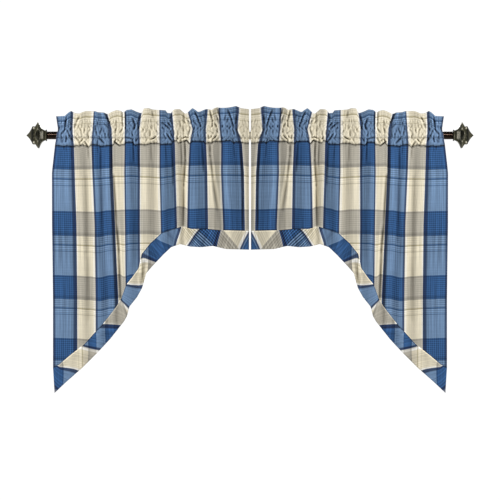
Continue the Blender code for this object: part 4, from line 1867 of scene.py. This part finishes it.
FINIAL_PROFILE = tuple(Turn(*row) for row in (
    (0.0, 17.4, 0.0), (0.6, 18.0, 0.1), (2.2, 18.0, 0.1), (3.0, 16.6, 0.5), (3.6, 15.5, 0.62),
    (5.2, 15.7, 0.62), (7.6, 16.4, 0.1), (9.2, 17.0, 0.15), (12.0, 18.6, 0.5), (15.5, 21.4, 0.62),
    (19.0, 25.8, 0.6), (22.4, 31.6, 0.45), (25.0, 37.4, 0.5), (26.4, 40.6, 0.6), (27.2, 41.0, 0.65),
    (28.2, 40.6, 0.6), (31.0, 36.2, 0.4), (34.0, 31.8, 0.4), (36.4, 28.4, 0.6), (37.4, 26.8, 0.6),
    (38.2, 28.0, 0.55), (39.2, 28.4, 0.5), (41.5, 28.4, 0.15), (44.6, 28.4, 0.0), (45.6, 27.6, 0.05),
    (47.2, 23.8, 0.05), (50.0, 18.9, 0.25), (53.4, 13.6, 0.65), (57.2, 8.6, 0.55), (61.0, 4.6, 0.55),
    (64.2, 1.8, 0.4), (65.6, 0.5, 0.4),
))
CORNER = 1e-4  # how far from a corner of the square a side starts


@dataclass
class SquareFinial:
    """A stepped square finial, with an oval scooped out of each side of its flange."""

    side: Side
    finish: bpy.types.Material
    cuts: int = 14  # across each side of the square
    scoop_at: float = 28.4  # from the collar's face, as the dots and the painted highlights are
    scoop_along: float = 7.0
    scoop_across: float = 17.5
    scoop_depth: float = 8.5
    dots_at: float = 42.0
    dots: tuple[float, ...] = (-15.2, -5.1, 5.1, 15.2)
    dot_radius: float = 2.6
    dot_depth: float = 1.6
    dot_wear: float = 0.1  # share of the wear that is left in a dot
    scoop_power: float = 0.7  # of the scoop's fall towards its rim
    scoop_wear: float = 0.05  # share of the wear that is left in it
    rim_reach: float = 1.25  # of the rim round the scoop, rubbed and with painted highlight, in widths of the scoop
    rim_wear: float = 0.25  # which it adds
    # painted highlights on the flange's face and on the corners of the tier
    rubbed: tuple[tuple[float, ...], ...] = ((12.0, 21.4, 0.0, 12.0), (38.0, 44.0, 19.0, 25.0))
    rubbed_wear: float = 0.92  # in those places of painted highlight, from and to along the finial and across it
    longest_step: float = 1.2  # along the finial; a longer one is cut in two
    sharp_angle: float = math.radians(32)

    def rings(self, start: float) -> bmesh.types.BMesh:
        """Draws the square up through its steps.

        Args:
            start: X of the collar's face, in metres.

        Returns:
            The open sweep, with its wear in a float layer, painted highlights among it.
        """
        bm = bmesh.new()
        wear = bm.verts.layers.float.new("wear")
        turned = Matrix.Rotation(math.pi / 2, 4, "Y") @ Matrix.Rotation(math.pi / 4, 4, "Z")
        first = FINIAL_PROFILE[0]
        bmesh.ops.create_circle(
            bm, cap_ends=False, segments=4, radius=math.sqrt(2) * first.half * MM, matrix=turned
        )
        bmesh.ops.subdivide_edges(bm, edges=bm.edges[:], cuts=self.cuts)
        bmesh.ops.translate(bm, vec=(start, 0, 0), verts=bm.verts[:])
        ring = bm.edges[:]
        for vertex in bm.verts:
            vertex[wear] = first.wear
        for near, far in zip(FINIAL_PROFILE[:-1], FINIAL_PROFILE[1:]):
            grown = bmesh.ops.extrude_edge_only(bm, edges=ring)["geom"]
            verts = [item for item in grown if isinstance(item, bmesh.types.BMVert)]
            edges = [item for item in grown if isinstance(item, bmesh.types.BMEdge)]
            ring = [edge for edge in edges if all(vertex in verts for vertex in edge.verts)]
            share = far.half / near.half
            for vertex in verts:
                vertex.co.x += self.side.value * (far.along - near.along) * MM
                vertex.co.y *= share
                vertex.co.z *= share
                vertex[wear] = far.wear
        return bm

    def carve(self, bm: bmesh.types.BMesh, start: float) -> None:
        """Scoops an oval and a row of dots into each side, rubs the scoop's rim, and paints highlights
        on the flange's face and the tier's corners.

        Args:
            bm: The sweep.
            start: X of the collar's face, in metres.
        """
        wear = bm.verts.layers.float["wear"]
        for vertex in bm.verts:
            along = abs(vertex.co.x - start) / MM
            y, z = vertex.co.y / MM, vertex.co.z / MM
            if abs(abs(y) - abs(z)) < CORNER:
                continue
            on_front = abs(y) > abs(z)
            across = z if on_front else y
            away = math.hypot((along - self.scoop_at) / self.scoop_along, across / self.scoop_across)
            sink = self.scoop_depth * max(0.0, 1 - away**2) ** self.scoop_power
            if away < 1.0:
                vertex[wear] *= self.scoop_wear
            elif away < self.rim_reach:
                vertex[wear] = min(1.0, vertex[wear] + self.rim_wear)
            # painted highlights
            for near, far, inner, outer in self.rubbed:
                if near < along < far and inner < abs(across) < outer:
                    vertex[wear] = self.rubbed_wear
            for place in self.dots:
                off = math.hypot(along - self.dots_at, across - place) / self.dot_radius
                if off < 1:
                    sink += self.dot_depth * (1 - off**2)
                    vertex[wear] *= self.dot_wear
            if on_front:
                vertex.co.y -= math.copysign(sink * MM, y)
            else:
                vertex.co.z -= math.copysign(sink * MM, z)

    def build(self) -> bpy.types.Object:
        """Makes the finial where its solid stands.

        Returns:
            The finial's object.
        """
        node = f"finial_{self.side.label}"
        low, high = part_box(node)
        start = low.x if self.side is Side.RIGHT else high.x
        bm = self.rings(start)
        ends = [(edge, *edge.verts) for edge in bm.edges]
        steps = [edge for edge, a, b in ends if abs(a.co.x - b.co.x) > self.longest_step * MM]
        bmesh.ops.subdivide_edges(bm, edges=steps, cuts=1)
        self.carve(bm, start)
        bmesh.ops.holes_fill(bm, edges=[edge for edge in bm.edges if edge.is_boundary])
        bmesh.ops.recalc_face_normals(bm, faces=bm.faces[:])
        mesh = finished(bm, node)
        mesh.shade_smooth()
        mesh.set_sharp_from_angle(angle=self.sharp_angle)
        finial = add_piece(f"pewter_{node}", mesh, self.finish)
        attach(finial, BODY)
        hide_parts(node)
        LOG.info("%s: %d faces", finial.name, len(mesh.polygons))
        return finial


# ---------------------------------------------------------------- the studio


@dataclass
class Studio:
    """A white room with soft lamps before the drape, and a camera square on to it."""

    width_seen: float = 1.6015  # metres across the view at the rod
    distance: float = 14.0
    centre_rise: float = -0.367
    sensor: float = 36.0
    floor_drop: float = 1.95
    floor_half: float = 3.0
    paint: tuple[float, ...] = (0.94, 0.94, 0.94, 1.0)
    paint_roughness: float = 0.9
    fill: float = 0.38  # strength of the even light
    seen: float = 1.05  # and of the white that the camera looks at
    lamp_power: float = 62.0
    lamp_size: float = 0.6
    lamp_place: Triple = (2.1, -1.7, 1.18)  # of the right one
    lamp_aim: Triple = (0.32, 0.0, -0.2)
    strip_power: float = 160.0
    strip_width: float = 3.2
    strip_height: float = 0.26
    strip_place: Triple = (0.0, -2.5, 1.15)
    back_power: float = 55.0
    back_size: float = 1.6
    back_place: Triple = (0.0, 2.6, 0.9)
    back_aim: Triple = (0.0, 0.0, -0.25)

    def camera(self) -> None:
        """Stands the camera before the middle of the drape."""
        data = bpy.data.cameras.new("camera")
        data.sensor_width = self.sensor
        data.lens = self.sensor * self.distance / self.width_seen
        camera = bpy.data.objects.new("camera", data)
        camera.location = (0.0, -self.distance, self.centre_rise)
        camera.rotation_euler = (math.pi / 2, 0.0, 0.0)
        bpy.context.scene.collection.objects.link(camera)
        bpy.context.scene.camera = camera

    def surface(self, name: str, size: float, matrix: Matrix) -> None:
        """Adds a plain pale surface.

        Args:
            name: Its name.
            size: Half its width.
            matrix: Its place.
        """
        bm = bmesh.new()
        bmesh.ops.create_grid(bm, x_segments=1, y_segments=1, size=size, matrix=matrix)
        paint, _, shader = new_finish(name)
        shader.inputs["Base Color"].default_value = self.paint
        shader.inputs["Roughness"].default_value = self.paint_roughness
        add_piece(name, finished(bm, name), paint)

    def lamp(
        self, name: str, place: Vector, size: tuple[float, float], power: float, aim: Vector
    ) -> bpy.types.Object:
        """Adds a soft lamp.

        Args:
            name: Its name.
            place: Where it stands.
            size: Its width and height.
            power: Its power in watts.
            aim: Where it points.

        Returns:
            The lamp.
        """
        data = bpy.data.lights.new(name, "AREA")
        data.shape = "RECTANGLE"
        data.size, data.size_y = size
        data.energy = power
        lamp = bpy.data.objects.new(name, data)
        lamp.location = place
        lamp.rotation_euler = (aim - place).to_track_quat("-Z", "Y").to_euler()
        bpy.context.scene.collection.objects.link(lamp)
        return lamp

    @staticmethod
    def light_only(lamp: bpy.types.Object, pieces: Sequence[bpy.types.Object]) -> None:
        """Keeps a lamp's light to some pieces.

        Args:
            lamp: The lamp.
            pieces: What it lights.
        """
        lit = bpy.data.collections.new(f"lit_by_{lamp.name}")
        for piece in pieces:
            lit.objects.link(piece)
        lamp.light_linking.receiver_collection = lit

    def lamps(self) -> None:
        """Adds a lamp for each half of the drape, a strip for the metal, and one behind."""
        meshes = [piece for piece in bpy.data.objects if piece.type == "MESH"]
        for side in Side:
            mirror = Vector((side.value, 1.0, 1.0))
            place, aim = Vector(self.lamp_place) * mirror, Vector(self.lamp_aim) * mirror
            size = (self.lamp_size, self.lamp_size)
            lamp = self.lamp(f"lamp_{side.label}", place, size, self.lamp_power, aim)
            far = Side(-side.value).label
            self.light_only(lamp, [piece for piece in meshes if not piece.name.endswith(far)])
        size = (self.strip_width, self.strip_height)
        strip = self.lamp("strip_lamp", Vector(self.strip_place), size, self.strip_power, Vector())
        self.light_only(strip, [piece for piece in meshes if piece.name.startswith("rod")])
        size = (self.back_size, self.back_size)
        aim = Vector(self.back_aim)
        self.lamp("back_lamp", Vector(self.back_place), size, self.back_power, aim)

    def room_light(self) -> None:
        """Fills the room with even light, and leaves it white to look at."""
        world = bpy.data.worlds.new("white room")
        world.use_nodes = True
        n = Nodes(world.node_tree)
        seen = n.add("ShaderNodeLightPath").outputs["Is Camera Ray"]
        background = world.node_tree.nodes["Background"]
        background.inputs["Color"].default_value = (1, 1, 1, 1)
        strength = n.math("MULTIPLY_ADD", seen, self.seen - self.fill, self.fill)
        n.feed(background.inputs["Strength"], strength)
        bpy.context.scene.world = world

    def build(self) -> None:
        """Sets up the room, the lamps and the camera."""
        self.camera()
        self.surface("floor", self.floor_half, Matrix.Translation((0, 0, -self.floor_drop)))
        self.room_light()
        bpy.context.scene.view_settings.view_transform = "Standard"
        self.lamps()


def main() -> None:
    """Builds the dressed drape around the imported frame."""
    logging.basicConfig(level=logging.INFO, format="%(message)s")
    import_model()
    low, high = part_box("rod")
    hang = Hang(rod_radius=(high.z - low.z) / 2 / MM)
    cotton = PlaidCotton("plaid cotton").material()
    bias = PlaidCotton(
        "bias cotton",
        pin_pitch=0.0094,
        pin_strength=0.5,
        boldness=1.0,
        edge_strength=0.85,
        slub_strength=1.1,
    ).material()
    CurtainRod(RubbedBronze().material()).build()
    pewter = AntiquePewter().material()
    cloth = PanelCloth(hang)
    for side in Side:
        GatheredPanel(cloth, side, cotton).build()
        BiasBand(hang, side, bias).build()
        SquareFinial(side, pewter).build()
    Studio().build()


if __name__ == "__main__":
    main()
